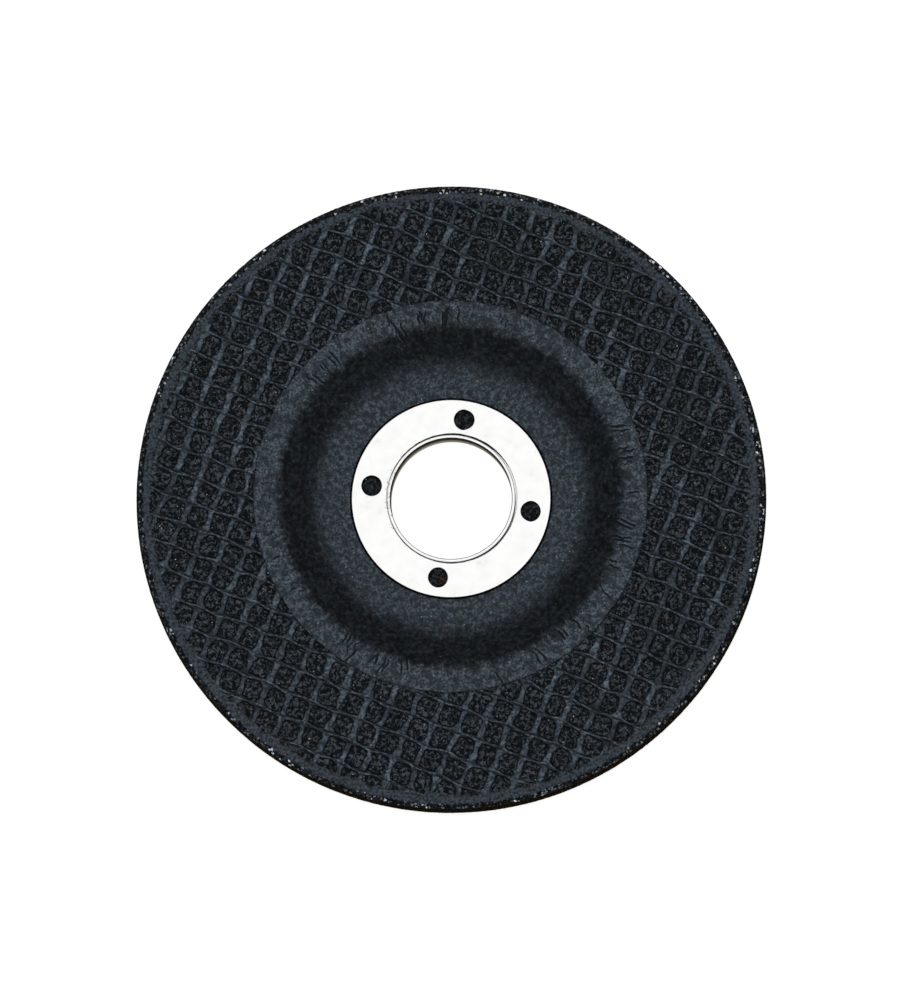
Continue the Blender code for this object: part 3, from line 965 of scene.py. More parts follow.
def yarn_shape(place, along):
    """(across, lift) of a pair of yarns: two ridges that swap sides, and a skirt of resin. A
    ridge falls by the square of the distance from its yarn's middle."""
    t = np.linspace(-1, 1, YARN_ACROSS)[None, :]
    t = t * (0.6 + 0.4 * t**2)
    q = along[:, None] + 0 * t
    wobble = yarn_wobble(q, place)
    beside, _ = from_nearest(q, BAND_PITCH, BAND_OFFSET)
    corner = bell(np.abs(beside) - BAND_HALF, 0.5 * MM)
    crossing = bell(beside, 0.9 * MM)
    width = YARN_HALF * (1 + 0.28 * line_noise(q + 3 * place, 0.9 * MM, 62))
    across = t * (width + 0.22 * MM * corner)
    swing = YARN_SWING * np.cos(math.pi * (q - BAND_OFFSET) / BAND_PITCH)
    over = (0.05 - 0.07 * (1 - crossing) + 0.05 * line_noise(q + 5 * place, 1.1 * MM, 64)) * MM
    under = (-0.08 - 0.20 * crossing) * MM
    first = over - ((across - swing) / YARN_RIDGE) ** 2 * YARN_ROUND
    second = under - ((across + swing) / YARN_RIDGE) ** 2 * YARN_ROUND
    skirt = -0.20 + 0.06 * line_noise(q + 11 * place, 1.4 * MM, 65) - 0.06 * crossing + 0.07 * corner
    skirt = skirt * MM - 0.30 * MM * np.abs(t) ** 4
    lift = np.maximum(np.maximum(first, second), skirt)
    grain = np.stack([q, across, 0 * q + place], axis=-1)
    lift = lift + 0.035 * MM * soft_noise(grain, 0.35 * MM, 63)
    lift = np.where(np.abs(t) > 0.99, -STRAND_ROOT, lift)
    return across + wobble, lift


print("yarns", (yarn_shape(0.0, test_run)[1].max() / MM).round(2), "mm above the front at most")

# %% [markdown]
# ## Laying the strands
# A family of strands becomes one mesh. Each run gets its section at every step, the section's
# underside is sunk out of sight, and the strand sinks at both ends: under the cover near the
# centre, and into the moulded band at the rim. On the back the same strands hang upside down.

# %% One run of strand
# Heights between which the painted shade turns to painted light.
CREST_HIGH, CREST_LOW = 0.08 * MM, -0.20 * MM
UNDERSIDE = -STRAND_ROOT - 0.25 * MM
UNDERSIDE_WIDTH = 0.8
END_REACH = 0.9 * MM


def sunk_ends(radius, inner, outer):
    """How far a strand sinks near the two radii where it ends."""
    by_cover = 0.32 * MM * (1 - smooth_step(radius, inner, inner + END_REACH))
    return by_cover + 0.22 * MM * smooth_step(radius, outer - END_REACH, outer)


def strand_grid(place, along, shape, crosswise, rings, angle, depth):
    """One run as (points, place on the strand, painted light and shade by height): its top and two
    points of underside at every step, bent with the cloth and laid on the dish."""
    across, lift = shape(place, along)
    underside = np.full((len(along), 2), UNDERSIDE)
    # Painted shade by height: near 0 low down, near 1 on the tops.
    lit_crest = smooth_step(np.concatenate([lift, underside], axis=1), CREST_LOW, CREST_HIGH)
    radius = np.hypot(along[:, None] + 0 * across, place + across)
    lift = np.concatenate([lift - sunk_ends(radius, *rings), underside], axis=1)
    across = np.concatenate([across, across[:, [-1, 0]] * UNDERSIDE_WIDTH], axis=1)
    q = along[:, None] + 0 * across
    pair = (q, place + across) if crosswise else (place + across, q)
    grid = on_dish(*cloth_to_disc(*pair, angle), depth, lift if depth == 0 else -lift)
    return grid, np.stack([q + 9 * place, across], axis=-1), lit_crest


def strand_faces(grid, start):
    """Quads along a run and a cap at each end, all facing out; start is the first point's number."""
    rows, columns = grid.shape[:2]
    quads = facing_out(grid.reshape(-1, 3), tube_faces(rows, columns))
    first_cap = np.arange(columns)
    last_cap = first_cap + (rows - 1) * columns
    turned_round = quads[0, 0] != 0
    caps = [first_cap, last_cap[::-1]] if turned_round else [first_cap[::-1], last_cap]
    return (quads + start).tolist() + [(cap + start).tolist() for cap in caps]


print("sections of", BAND_ACROSS + 2, "and", YARN_ACROSS + 2, "points")

# %% A family of strands
def lay_strands(name, shape, crosswise, rings, angle, depth, step, slot, nodes):
    """One mesh of all strands of a family. crosswise swaps the two directions of the cloth."""
    own, other = (YARNS, BANDS) if crosswise else (BANDS, YARNS)
    points, faces, strand_map, crests, count = [], [], [], [], 0
    for place, start, stop in runs(*own, *rings):
        along = along_run(start, stop, step, *other)
        grid, on_strand, lit_crest = strand_grid(place, along, shape, crosswise, rings, angle, depth)
        faces += strand_faces(grid, count)
        points.append(grid.reshape(-1, 3))
        strand_map.append(on_strand.reshape(-1, 2))
        crests.append(lit_crest.ravel())
        count += len(points[-1])
    piece = add_piece(name, np.concatenate(points), faces, CLOTH, slot, nodes)
    point_value(piece, "lit_crest", np.concatenate(crests))
    corners = np.empty(len(piece.data.loops), dtype=np.int32)
    piece.data.loops.foreach_get("vertex_index", corners)
    layer = piece.data.uv_layers.new(name="strand")
    layer.data.foreach_set("uv", np.concatenate(strand_map)[corners].ravel())


FRONT_STEP, BACK_STEP = 0.40 * MM, 0.75 * MM
FRONT_RING = (COVER_RADIUS - 0.1 * MM, CLOTH_RADIUS + 0.5 * MM)
BACK_RING = (BACK_CLOTH_START, BACK_CLOTH_RADIUS)
CLOTHS = [("front", FRONT_RING, FRONT_ANGLE, 0, FRONT_STEP)]
CLOTHS += [("back", BACK_RING, BACK_ANGLE, THICKNESS, BACK_STEP)]
FAMILIES = [("bands", band_shape, False), ("yarns", yarn_shape, True)]
for side, *laying in CLOTHS:
    for family, shape, crosswise in FAMILIES:
        lay_strands(f"{side}_{family}", shape, crosswise, *laying, f"{side}_cloth", [f"{side}_mesh"])

# %% [markdown]
# ## The cover's finish
# The cover looks like two materials, but it is one sheet. On the hub floor and over the lip it is
# a mottled blue-grey; down the slope it is painted as a near-black, shaded copy of the sheet with
# faint clouds, for the sheen that the slope doesn't catch. The change at the lip is drawn out along
# the radius, like combed fur, so its noise is stretched that way. Each crease's depth comes as an
# attribute of the mesh: it paints shade into the fold and, below zero, light on the ridge beside it.

# %% The cover's flats and slope
COVER_FLAT = (0.0080, 0.0100, 0.0120, 1.0)
COVER_DUSTY = (0.0910, 0.1100, 0.1280, 1.0)


def streaks(tree, flat, radius, size, stretch):
    """Noise drawn out along the radius: it reads the direction from the axis and a shortened radius."""
    outward = add_node(tree, "VectorMath", {"operation": "NORMALIZE"}, {0: flat}).outputs[0]
    scaled = add_node(tree, "VectorMath", {"operation": "SCALE"}, {0: outward, "Scale": LIP_RADIUS})
    parts = add_node(tree, "SeparateXYZ", {}, {0: scaled.outputs[0]}).outputs
    inputs = {0: parts[0], 1: parts[1], 2: maths(tree, "DIVIDE", radius, stretch)}
    return noise(tree, add_node(tree, "CombineXYZ", {}, inputs).outputs[0], size, 3.0)


# Where the slope's painted shade lies.
def slope_share(tree, radius, fur, cloudy):
    """1 on the slope, 0 on both flats: a cloudy change at the foot and a combed one at the lip."""
    foot = plus(tree, radius, times(tree, cloudy, 7.0 * MM))
    lip = plus(tree, radius, times(tree, fur, 3.8 * MM))
    lip = plus(tree, lip, times(tree, cloudy, 2.6 * MM))
    begun = ramp(tree, foot, FOOT_RADIUS + 0.6 * MM, FOOT_RADIUS + 5.8 * MM)
    return times(tree, begun, ramp(tree, lip, LIP_RADIUS + 4.6 * MM, LIP_RADIUS + 2.0 * MM))


def pressed_colour(tree, where, radius, fur, speckle):
    """The flattened sheet: speckle times patches, stronger past the lip, times faint combing."""
    patchy = ramp(tree, noise(tree, where, 1.0 * MM, 4.0), 0.35, 0.65, 0.14, 1.0)
    patchy = times(tree, patchy, ramp(tree, radius, LIP_RADIUS - 2 * MM, LIP_RADIUS, 0.92, 1.10))
    combed = ramp(tree, fur, 0.35, 0.65, 0.80, 1.08)
    dusty = times(tree, times(tree, ramp(tree, speckle, 0.30, 0.70), patchy), combed)
    return mixed(tree, dusty, COVER_FLAT, COVER_DUSTY)


print("slope from", round(FOOT_RADIUS / MM, 2), "to", round(LIP_RADIUS / MM, 2), "mm")

# %% The cover's painted glints, painted crease shade and shine
# Painted shade: the slope's near-black copy of the sheet.
SLOPE_SHADE_BLACK = (0.0006, 0.0007, 0.0008, 1.0)
SLOPE_SHADE_GREY = (0.0130, 0.0152, 0.0175, 1.0)
# Painted shade in the folds of the creases.
FOLD_SHADE_BLACK = (0.0014, 0.0016, 0.0018, 1.0)
# Painted glint: pale blue-white specks.
SPECK_GLINT = (0.22, 0.26, 0.30, 1.0)
FUR_STRETCH = 4.0
COVER_GLOSS = 0.15


def with_painted_glints(tree, where, slope, colour):
    """A colour with a few painted glints as pale specks, fainter on the slope."""
    distance, chances = cells(tree, where, 0.6 * MM)
    glint_spot = spots(tree, distance, (0.28, 0.12), chances[0], (0.95, 0.97))
    return mixed(tree, times(tree, glint_spot, ramp(tree, slope, 0.0, 1.0, 0.8, 0.2)), colour, SPECK_GLINT)


def with_crease_shade(tree, colour):
    """A colour with painted shade in the folds and painted light on the ridges beside them."""
    # Painted shade and light: dark in the fold, paler on the ridge beside it.
    crease = point_attribute(tree, "crease")
    colour = mixed(tree, ramp(tree, crease, 0.08, 0.60), colour, FOLD_SHADE_BLACK)
    return mixed(tree, ramp(tree, crease, -0.1, -0.6, 0.0, 0.55), colour, COVER_DUSTY)


def cover_finish():
    """Blue-grey on the flats, painted shade on the slope and in the creases."""
    material, tree, shader = new_finish("pressed_cover")
    where, flat, radius, _ = position(tree)
    fur = streaks(tree, flat, radius, 0.60 * MM, FUR_STRETCH)
    cloudy = noise(tree, where, 2.6 * MM, 4.0)
    speckle = noise(tree, where, 0.42 * MM, 4.0)
    slope = slope_share(tree, radius, fur, cloudy)
    pressed = pressed_colour(tree, where, radius, fur, speckle)
    # Painted shade down the slope: near-black with faint clouds.
    slope_shade_clouds = ramp(tree, noise(tree, where, 0.8 * MM, 5.0), 0.41, 0.70)
    slope_shade_strength = ramp(tree, cloudy, 0.38, 0.66, 0.97, 0.82)
    colour = mixed(tree, times(tree, slope, slope_shade_strength), pressed, mixed(tree, slope_shade_clouds, SLOPE_SHADE_BLACK, SLOPE_SHADE_GREY))
    colour = with_crease_shade(tree, with_painted_glints(tree, where, slope, colour))
    shine = ramp(tree, cloudy, 0.3, 0.7, 0.50, 0.40)
    roughness = plus(tree, shine, times(tree, slope, 0.15))
    hairs = times(tree, fur, ramp(tree, radius, LIP_RADIUS - 3 * MM, LIP_RADIUS))
    normal = bump(tree, hairs, 0.10 * MM, bump(tree, speckle, 0.09 * MM))
    dress(tree, shader, dusted(tree, where, colour), roughness, normal, COVER_GLOSS)
    return material


COVER = cover_finish()
print(COVER.name, len(COVER.node_tree.nodes), "nodes")

# %% [markdown]
# ## The creases
# The sheet can't shrink round the lip, so it folds there: short creases that point roughly at the
# centre, the strong ones on four sides of the lip, and often two side by side. Each is a narrow
# valley along a slightly waved line, with a faint ridge beside it. They are drawn by a seeded
# generator, with their place, length, slant and depth, and added up over the whole grid.

# %% Creases of the cover
CREASES = 170
FOLD_SIDES = np.radians([-48.0, -128.0, -4.0, 114.0])
RIDGE_SHARE, RIDGE_PLACE = 0.5, 1.8


def drawn_creases():
    """(turn, middle, length, slant, bow, wave, width, depth) of each crease. Strong ones lie near
    the fold sides, and every third crease is a shorter twin of the one before."""
    chance = np.random.default_rng(23)
    drawn = []
    for number in range(CREASES):
        if number % 3 == 1:
            turn += chance.uniform(0.018, 0.034)
            middle += chance.normal(0.0, 0.6) * MM
            length *= chance.uniform(0.6, 0.95)
        else:
            turn = chance.uniform(0, 2 * math.pi)
            nearness = np.cos(turn - FOLD_SIDES).max()
            strong = chance.uniform(0, 1) < 0.55 * smooth_step(nearness, 0.80, 0.97)
            middle = LIP_RADIUS + chance.normal(1.9 if strong else 2.0, 0.8) * MM
            length = (chance.uniform(2.4, 5.0) if strong else chance.uniform(0.7, 2.6)) * MM
            slant = chance.normal(0.0, 0.22) * length
            bow = chance.normal(0.0, 0.30) * MM
            wave = chance.normal(0.0, 0.13 if strong else 0.06) * MM
            width = (chance.uniform(0.12, 0.17) if strong else chance.uniform(0.09, 0.14)) * MM
            depth = chance.uniform(1.0, 1.6) if strong else chance.uniform(0.2, 0.7)
        drawn.append((turn, middle, length, slant, bow, wave, width, depth))
    return drawn


def creases(radius, angle):
    """(valley, ridge) at each point: a bell across each crease's line, faded out at both ends, and
    a lower bell beside it. The line slants, bows and waves about its turn."""
    valley = np.zeros(np.broadcast(radius, angle).shape)
    ridge = np.zeros_like(valley)
    for turn, middle, length, slant, bow, wave, width, depth in drawn_creases():
        along = (radius - middle) / length + 0.5
        inside = smooth_step(along, 0, 0.3) * smooth_step(1 - along, 0, 0.3)
        swerve = bow * np.sin(3 * along) + wave * np.sin(11 * along + 40 * turn)
        line = turn + (slant * (along - 0.5) + swerve) / radius
        sideways = (np.mod(angle - line + math.pi, 2 * math.pi) - math.pi) * radius / width
        valley += depth * inside * bell(sideways)
        ridge += RIDGE_SHARE * depth * inside * bell(sideways - RIDGE_PLACE)
    return valley, ridge


print(len(drawn_creases()), "creases")

# %% [markdown]
# ## The cover
# The cover is a closed ring: its top follows the dish line, with fine rows where the creases are,
# and plain rows close it below. It is the one sheet of the disc.

# %% The cover's top
COVER_INNER = FLANGE_RADIUS + GAP
COVER_EDGE = 0.12 * MM
CREASED_FROM = LIP_RADIUS - 1.6 * MM
HUB_ROWS, SLOPE_ROWS, LIP_ROWS = 7, 10, 30
HEM = 0.1 * MM
RIDGE_RISE, FOLD_DEPTH, DEEPEST, COVER_SINK = 0.05, 0.11, 1.3, 0.02


def cover_rows():
    """Radii of the top's rows: wide steps on the hub, fine ones over the lip."""
    hub = np.linspace(COVER_INNER + COVER_EDGE, FOOT_RADIUS, HUB_ROWS, endpoint=False)
    slope = np.linspace(FOOT_RADIUS, CREASED_FROM, SLOPE_ROWS, endpoint=False)
    return np.concatenate([hub, slope, np.linspace(CREASED_FROM, COVER_RADIUS - HEM, LIP_ROWS)])


def cover_top(radius, angle):
    """The wrinkled top, and at each point the valley, or the ridge as a negative number."""
    x, y = radius * np.cos(angle), radius * np.sin(angle)
    valley, ridge = creases(radius, angle)
    flat = np.stack([x, y, 0 * x], axis=-1)
    lift = RIDGE_RISE * ridge - FOLD_DEPTH * np.minimum(valley, DEEPEST)
    lift = lift + 0.02 * soft_noise(flat, 0.5 * MM, 14) + 0.03 * soft_noise(flat, 2.5 * MM, 15)
    # The value that the finish paints as shade in a fold, and as light on a ridge when negative.
    fold = np.clip(valley, 0, 1) - np.clip(ridge, 0, 1) * (valley < 0.2)
    return on_dish(x, y, 0, (lift - COVER_SINK) * MM), fold


print(len(cover_rows()), "rows")

# %% The cover's sheet
COVER_COLUMNS = 1800
COVER_THICKNESS = 0.35 * MM


def cover_grid():
    """The sheet as a closed ring: wrinkled top, thin edges, plain underside; and its creases."""
    angle = around(COVER_COLUMNS)
    wander = 0.10 * MM * line_noise(angle * COVER_RADIUS, 1.3 * MM, 9)
    rows = cover_rows()
    radius = rows[:, None] + wander * smooth_step(rows, LIP_RADIUS, COVER_RADIUS)[:, None]
    top, fold = cover_top(radius, angle)
    hem, level = radius[-1:] + HEM, 0 * radius[-1:]
    below = [(hem, COVER_EDGE), (hem, COVER_THICKNESS)]
    below += [(level + middle, COVER_THICKNESS) for middle in (LIP_RADIUS, FOOT_RADIUS, COVER_INNER)]
    below += [(level + COVER_INNER, COVER_EDGE)]
    plain = [on_dish(row * np.cos(angle), row * np.sin(angle), depth, 0 * row) for row, depth in below]
    return np.concatenate([top] + plain), fold


cover_points, fold = cover_grid()
cover = ring_piece("cover", cover_points, COVER, "cover", ["centre_cover"])
# Numbers from which the finish paints shade in the folds and light on the ridges.
fold_shade_values = np.zeros(len(cover.data.vertices), dtype=np.float32)
fold_shade_values[: fold.size] = fold.ravel()
point_value(cover, "crease", fold_shade_values)

# %% [markdown]
# ## Steel finishes
# The flange is bright plated steel, stamped from sheet: nearly even, with faint rolling marks, a
# few specks, and brown burrs along the left of the seam. It is a metal, so the lamp's reflection
# gives its brightness. The sleeve's end is the same steel, but its wall has a dull finish that
# isn't a metal at all: brown-black near the top and straw below.

# %% Steel
PLATED = (0.624, 0.624, 0.62, 1.0)
PLATED_DULL = (0.56, 0.56, 0.55, 1.0)
BURR_BROWN = (0.16, 0.13, 0.11, 1.0)
SEAM_RADIUS = SLEEVE_RADIUS - 0.17 * MM
BURR_REACH = 0.8 * MM
ROLLING_STRETCH = 0.06
STEEL_GLOSS = 0.5


def burr_share(tree, radius, parts):
    """1 close outside the seam at the disc's left, little on its other sides, 0 elsewhere."""
    by_seam = ramp(tree, radius, SEAM_RADIUS + BURR_REACH, SEAM_RADIUS + 0.1 * MM)
    return times(tree, by_seam, ramp(tree, parts[0], -7 * MM, -11 * MM, 0.12, 1.0))


def steel_finish():
    """Bright plating with rolling marks, a few specks, and brown burrs by the seam's left side."""
    material, tree, shader = new_finish("plated_steel")
    where, _, radius, parts = position(tree)
    rolling = noise(tree, stretched(tree, where, (ROLLING_STRETCH, 1.0, 1.0)), 0.12 * MM)
    cloudy = noise(tree, where, 1.8 * MM, 4.0)
    colour = mixed(tree, ramp(tree, cloudy, 0.62, 0.8), PLATED, PLATED_DULL)
    distance, chances = cells(tree, where, 0.34 * MM)
    burrs = times(tree, ramp(tree, chances[0], 0.52, 0.66), burr_share(tree, radius, parts))
    specks = maths(tree, "MAXIMUM", burrs, ramp(tree, chances[1], 0.985, 0.995, 0.0, 0.22))
    colour = mixed(tree, times(tree, ramp(tree, distance, 0.42, 0.22), specks), colour, BURR_BROWN)
    roughness = ramp(tree, cloudy, 0.3, 0.7, 0.30, 0.38)
    dress(tree, shader, colour, roughness, bump(tree, rolling, 0.004 * MM), STEEL_GLOSS, PLAIN_GLOSS)
    shader.inputs["Metallic"].default_value = 1.0
    return material


STEEL = steel_finish()
print(STEEL.name, len(STEEL.node_tree.nodes), "nodes")

# %% The inner wall of the sleeve
BORE_TOP_BROWN = (0.008, 0.006, 0.004, 1.0)
STRAW = (0.62, 0.56, 0.45, 1.0)
STRAW_BELOW, BROWN_ABOVE = SLEEVE_TOP - 4.4 * MM, SLEEVE_TOP - 1.0 * MM


def sleeve_inner_wall_finish():
    """The sleeve's inner wall: dull, brown-black at the top and straw below."""
    material, tree, shader = new_finish("sleeve_bore_wall")
    where, _, _, parts = position(tree)
    level = plus(tree, parts[2], times(tree, noise(tree, where, 0.8 * MM, 3.0), 1.2 * MM))
    colour = mixed(tree, ramp(tree, level, STRAW_BELOW, BROWN_ABOVE), STRAW, BORE_TOP_BROWN)
    dress(tree, shader, colour, 0.85, None, 0.05, PLAIN_GLOSS)
    return material


SLEEVE_INNER_WALL = sleeve_inner_wall_finish()
print(SLEEVE_INNER_WALL.name, len(SLEEVE_INNER_WALL.node_tree.nodes), "nodes")

# %% [markdown]
# ## The flange
# A stamped ring with four holes isn't a turned shape, so a grid can't make it in one go. Its edges
# can: a small rounded profile is carried along each of the six loops. The flat faces between the
# loops are filled by cutting the flat outline into triangles. The inner loop wanders against the
# sleeve, which gives the uneven dark seam. In the photograph that seam lies a little further in
# than the plain solids put it, so the visible flange and sleeve meet there.

# %% The loops of the flange
KEY_CIRCLE = (SEAT_RADIUS + FLANGE_RADIUS) / 2 - 0.5 * MM
KEY_HOLE = 1.8 * MM
KEY_ANGLES = [math.radians(-9.4) + turn * math.pi / 2 for turn in range(4)]
KEY_CENTRES = [(KEY_CIRCLE * math.cos(turn), KEY_CIRCLE * math.sin(turn)) for turn in KEY_ANGLES]
OUTLINE_STEPS, SEAM_STEPS, HOLE_STEPS = 360, 300, 56
SEAM_ANGLE = math.radians(12.0)


def seam_width(angle):
    """Gap between flange and sleeve: wider on one side than on the other, and uneven."""
    uneven = 0.035 * line_noise(angle * SEAM_RADIUS, 0.7 * MM, 4)
    return np.clip(0.05 + 0.12 * (1 + np.cos(angle - SEAM_ANGLE)) + uneven, 0.04, 0.3) * MM


def flange_loops():
    """(centre, angles, radii, inward sign) of the outline, the bore and the four key holes."""
    outer, inner, hole = around(OUTLINE_STEPS), around(SEAM_STEPS), around(HOLE_STEPS)
    loops = [((0, 0), outer, np.full(OUTLINE_STEPS, FLANGE_RADIUS), -1)]
    loops += [((0, 0), inner, SEAM_RADIUS + seam_width(inner), 1)]
    for turn, centre in zip(KEY_ANGLES, KEY_CENTRES):
        burr = 0.07 * MM * line_noise(np.cos(hole) * 2.4 * MM + turn * 10 * MM, 1.5 * MM, 6)
        loops.append((centre, hole, KEY_HOLE + burr, 1))
    return loops


print(len(flange_loops()), "loops")

# %% The flange with its four holes
EDGE = 0.12 * MM


def edge_profile(low, high):
    """(inset, height) down a rounded edge: quarter arc, wall, quarter arc."""
    arc = np.linspace(0, math.pi / 2, 5)
    upper = np.stack([EDGE * (1 - np.sin(arc)), high - EDGE * (1 - np.cos(arc))], axis=1)
    lower = np.stack([upper[::-1, 0], low + high - upper[::-1, 1]], axis=1)
    return np.concatenate([upper, lower])


def flange_mesh():
    """Points and faces: a rounded wall along each loop, and both flat faces cut into triangles."""
    profile = edge_profile(FLANGE_FOOT, FLANGE_TOP)
    points, faces, tops, bottoms, count = [], [], [], [], 0
    for centre, angle, radii, inward in flange_loops():
        reach = radii[None, :] + inward * profile[:, :1]
        x, y = centre[0] + reach * np.cos(angle), centre[1] + reach * np.sin(angle)
        points.append(np.stack([x, y, profile[:, 1:] + 0 * x], axis=-1).reshape(-1, 3))
        faces += (tube_faces(len(profile), len(angle)) + count).tolist()
        tops.append(count + np.arange(len(angle)))
        count += len(profile) * len(angle)
        bottoms.append(count - len(angle) + np.arange(len(angle)))
    points = np.concatenate(points)
    for loops in (tops, bottoms):
        order = np.concatenate(loops)
        outlines = [[Vector(points[k] / MM) for k in loop] for loop in loops]
        faces += [order[list(face)].tolist() for face in geometry.tessellate_polygon(outlines)]
    return points, faces


def turn_faces_out(piece):
    """Faces of a closed piece turned outwards, with its walls smooth and its flats plain."""
    rounded = bmesh.new()
    rounded.from_mesh(piece.data)
    bmesh.ops.recalc_face_normals(rounded, faces=rounded.faces)
    for face in rounded.faces:
        face.smooth = len(face.verts) == 4
    print(piece.name, "closed:", all(len(edge.link_faces) == 2 for edge in rounded.edges))
    rounded.to_mesh(piece.data)
    rounded.free()


flange = add_piece("flange", *flange_mesh(), STEEL, "plated_steel", ["flange_ring"])
turn_faces_out(flange)

# %% [markdown]
# ## The sleeve
# The sleeve lines the bore. Its end stands level with the flange and both ends are rounded over.
# It is one turned section: the faces of its inner wall take their own dull finish, the others the
# steel.

# %% The sleeve
BORE_RADIUS = SLEEVE_RADIUS - 0.8 * MM
END_ROUND = 0.22 * MM
SQUARENESS = 0.45
WALL_MARGIN = 0.08 * MM


def sleeve_grid():
    """A turned closed section: outer wall, rounded ends and inner wall. An end is half an ellipse
    made squarer by powers of its cosine and sine."""
    arc = np.linspace(0, math.pi, 9)
    middle, half = (BORE_RADIUS + SEAM_RADIUS) / 2, (SEAM_RADIUS - BORE_RADIUS) / 2
    wide = half * np.sign(np.cos(arc)) * np.abs(np.cos(arc)) ** SQUARENESS
    tall = END_ROUND * np.sin(arc) ** 0.8
    top = np.stack([middle + wide, SLEEVE_TOP - END_ROUND + tall], axis=1)
    foot = np.stack([middle - wide, SLEEVE_FOOT + END_ROUND - tall], axis=1)
    return turned(np.concatenate([top, foot]), 256)


sleeve = ring_piece("sleeve", sleeve_grid(), STEEL, "sleeve_steel", ["bore_sleeve"])
second_finish(sleeve, SLEEVE_INNER_WALL, face_centres(sleeve)[0] < BORE_RADIUS + WALL_MARGIN)

# %% [markdown]
# ## The plugs of grit in the key holes
# When the disc is pressed, grit and resin rise through the flange's four holes and lock it. Each
# plug is a low dome with a pole in its middle, grainy like the body, a little below the steel.
# One of them is stained by a rusty grain.

# %% The plugs' finish
RUST = (0.10, 0.022, 0.010, 1.0)
RUST_PLACE = (KEY_CENTRES[3][0] + 0.7 * MM, KEY_CENTRES[3][1] - 0.5 * MM, HUB_Z)
PLUG_CREST = 0.55


def plug_finish():
    """The abrasive's finish, with rust near one place."""
    material, tree, shader = new_finish("grit_plugs")
    where = position(tree)[0]
    colour, roughness, normal = abrasive_nodes(tree, where, PLUG_CREST)
    away = add_node(tree, "VectorMath", {"operation": "DISTANCE"}, {0: where, 1: RUST_PLACE})
    rusty = ramp(tree, away.outputs["Value"], 0.95 * MM, 0.25 * MM)
    rusty = times(tree, rusty, ramp(tree, noise(tree, where, 0.3 * MM), 0.45, 0.6))
    dress(tree, shader, mixed(tree, rusty, colour, RUST), roughness, normal, GRIT_GLOSS)
    return material


PLUG_GRIT = plug_finish()
print("rust at", [round(x / MM, 1) for x in RUST_PLACE], "mm")

# %% The plugs
PLUG_TOP, PLUG_FOOT = HUB_Z - 0.02 * MM, HUB_Z - 1.0 * MM
PLUG_RADIUS = KEY_HOLE - 0.04 * MM
PLUG_ROWS, PLUG_COLUMNS = 9, 44
PLUG_POINTS = 2 + PLUG_ROWS * PLUG_COLUMNS
DOME_DROP = 0.36 * MM


def plug_points(centre):
    """One plug: both poles, then rows from the top's pole outwards and one at the foot. The dome
    drops by the cube of the distance from its middle, plus grains."""
    share = np.append(np.linspace(0, 1, PLUG_ROWS)[1:], [1.0])[:, None]
    angle = around(PLUG_COLUMNS)
    reach = share * PLUG_RADIUS
    x, y = centre[0] + reach * np.cos(angle), centre[1] + reach * np.sin(angle)
    grid = np.stack([x, y, np.full_like(x, PLUG_TOP)], axis=-1)
    lift, _ = grains(grid, 0.5 * MM, 91)
    grid[..., 2] += np.clip(0.16 * lift, -0.1, 0.08) * MM - DOME_DROP * share**3
    grid[-1, :, 2] = PLUG_FOOT
    poles = [[*centre, grid[0, :, 2].mean()], [*centre, PLUG_FOOT]]
    return np.concatenate([poles, grid.reshape(-1, 3)])


def plug_faces(start):
    """Fans round both poles and quads between the rows; start is the first pole's number."""
    ring = np.arange(PLUG_COLUMNS)
    after = (ring + 1) % PLUG_COLUMNS
    first = start + 2
    last = first + (PLUG_ROWS - 1) * PLUG_COLUMNS
    faces = [[start, first + a, first + b] for a, b in zip(ring, after)]
    faces += (tube_faces(PLUG_ROWS, PLUG_COLUMNS)[:, ::-1] + first).tolist()
    return faces + [[start + 1, last + b, last + a] for a, b in zip(ring, after)]


plugs = np.concatenate([plug_points(centre) for centre in KEY_CENTRES])
all_plug_faces = [face for number in range(4) for face in plug_faces(number * PLUG_POINTS)]
add_piece("key_plugs", plugs, all_plug_faces, PLUG_GRIT, "abrasive", ["abrasive_body"])

# %% [markdown]
# ## Floor
# The photograph is plain: white all round, with the disc's soft shadow. The floor is a pale plane
# that takes the shadow; a little light that only the camera, mirrors and clear things see lifts
# it to white. Seen from below it is clear, so that a view of the disc's back isn't hidden.

# %% Floor
FLOOR_SIZE = 16.0
FLOOR_LEVEL = -0.02 * MM
FLOOR_GREY = (0.55, 0.55, 0.55, 1.0)
FLOOR_LIFT = 0.72
WHITE = (1.0, 1.0, 1.0, 1.0)


def floor_finish():
    """Pale and matt, lifted for camera, glossy and transmission rays, and clear from below."""
    material, tree, shader = new_finish("pale_floor")
    dress(tree, shader, FLOOR_GREY, 0.9, None, 0.1, PLAIN_GLOSS)
    rays = add_node(tree, "LightPath", {}, {}).outputs
    seen = maths(tree, "MAXIMUM", rays["Is Camera Ray"], rays["Is Glossy Ray"])
    seen = maths(tree, "MAXIMUM", seen, rays["Is Transmission Ray"])
    shader.inputs["Emission Color"].default_value = WHITE
    join(tree, shader.inputs["Emission Strength"], times(tree, seen, FLOOR_LIFT))
    from_below = add_node(tree, "NewGeometry", {}, {}).outputs["Backfacing"]
    clear = add_node(tree, "BsdfTransparent", {}, {}).outputs[0]
    shown = add_node(tree, "MixShader", {}, {0: from_below, 1: shader.outputs[0], 2: clear})
    join(tree, tree.nodes["Material Output"].inputs["Surface"], shown.outputs[0])
    return material


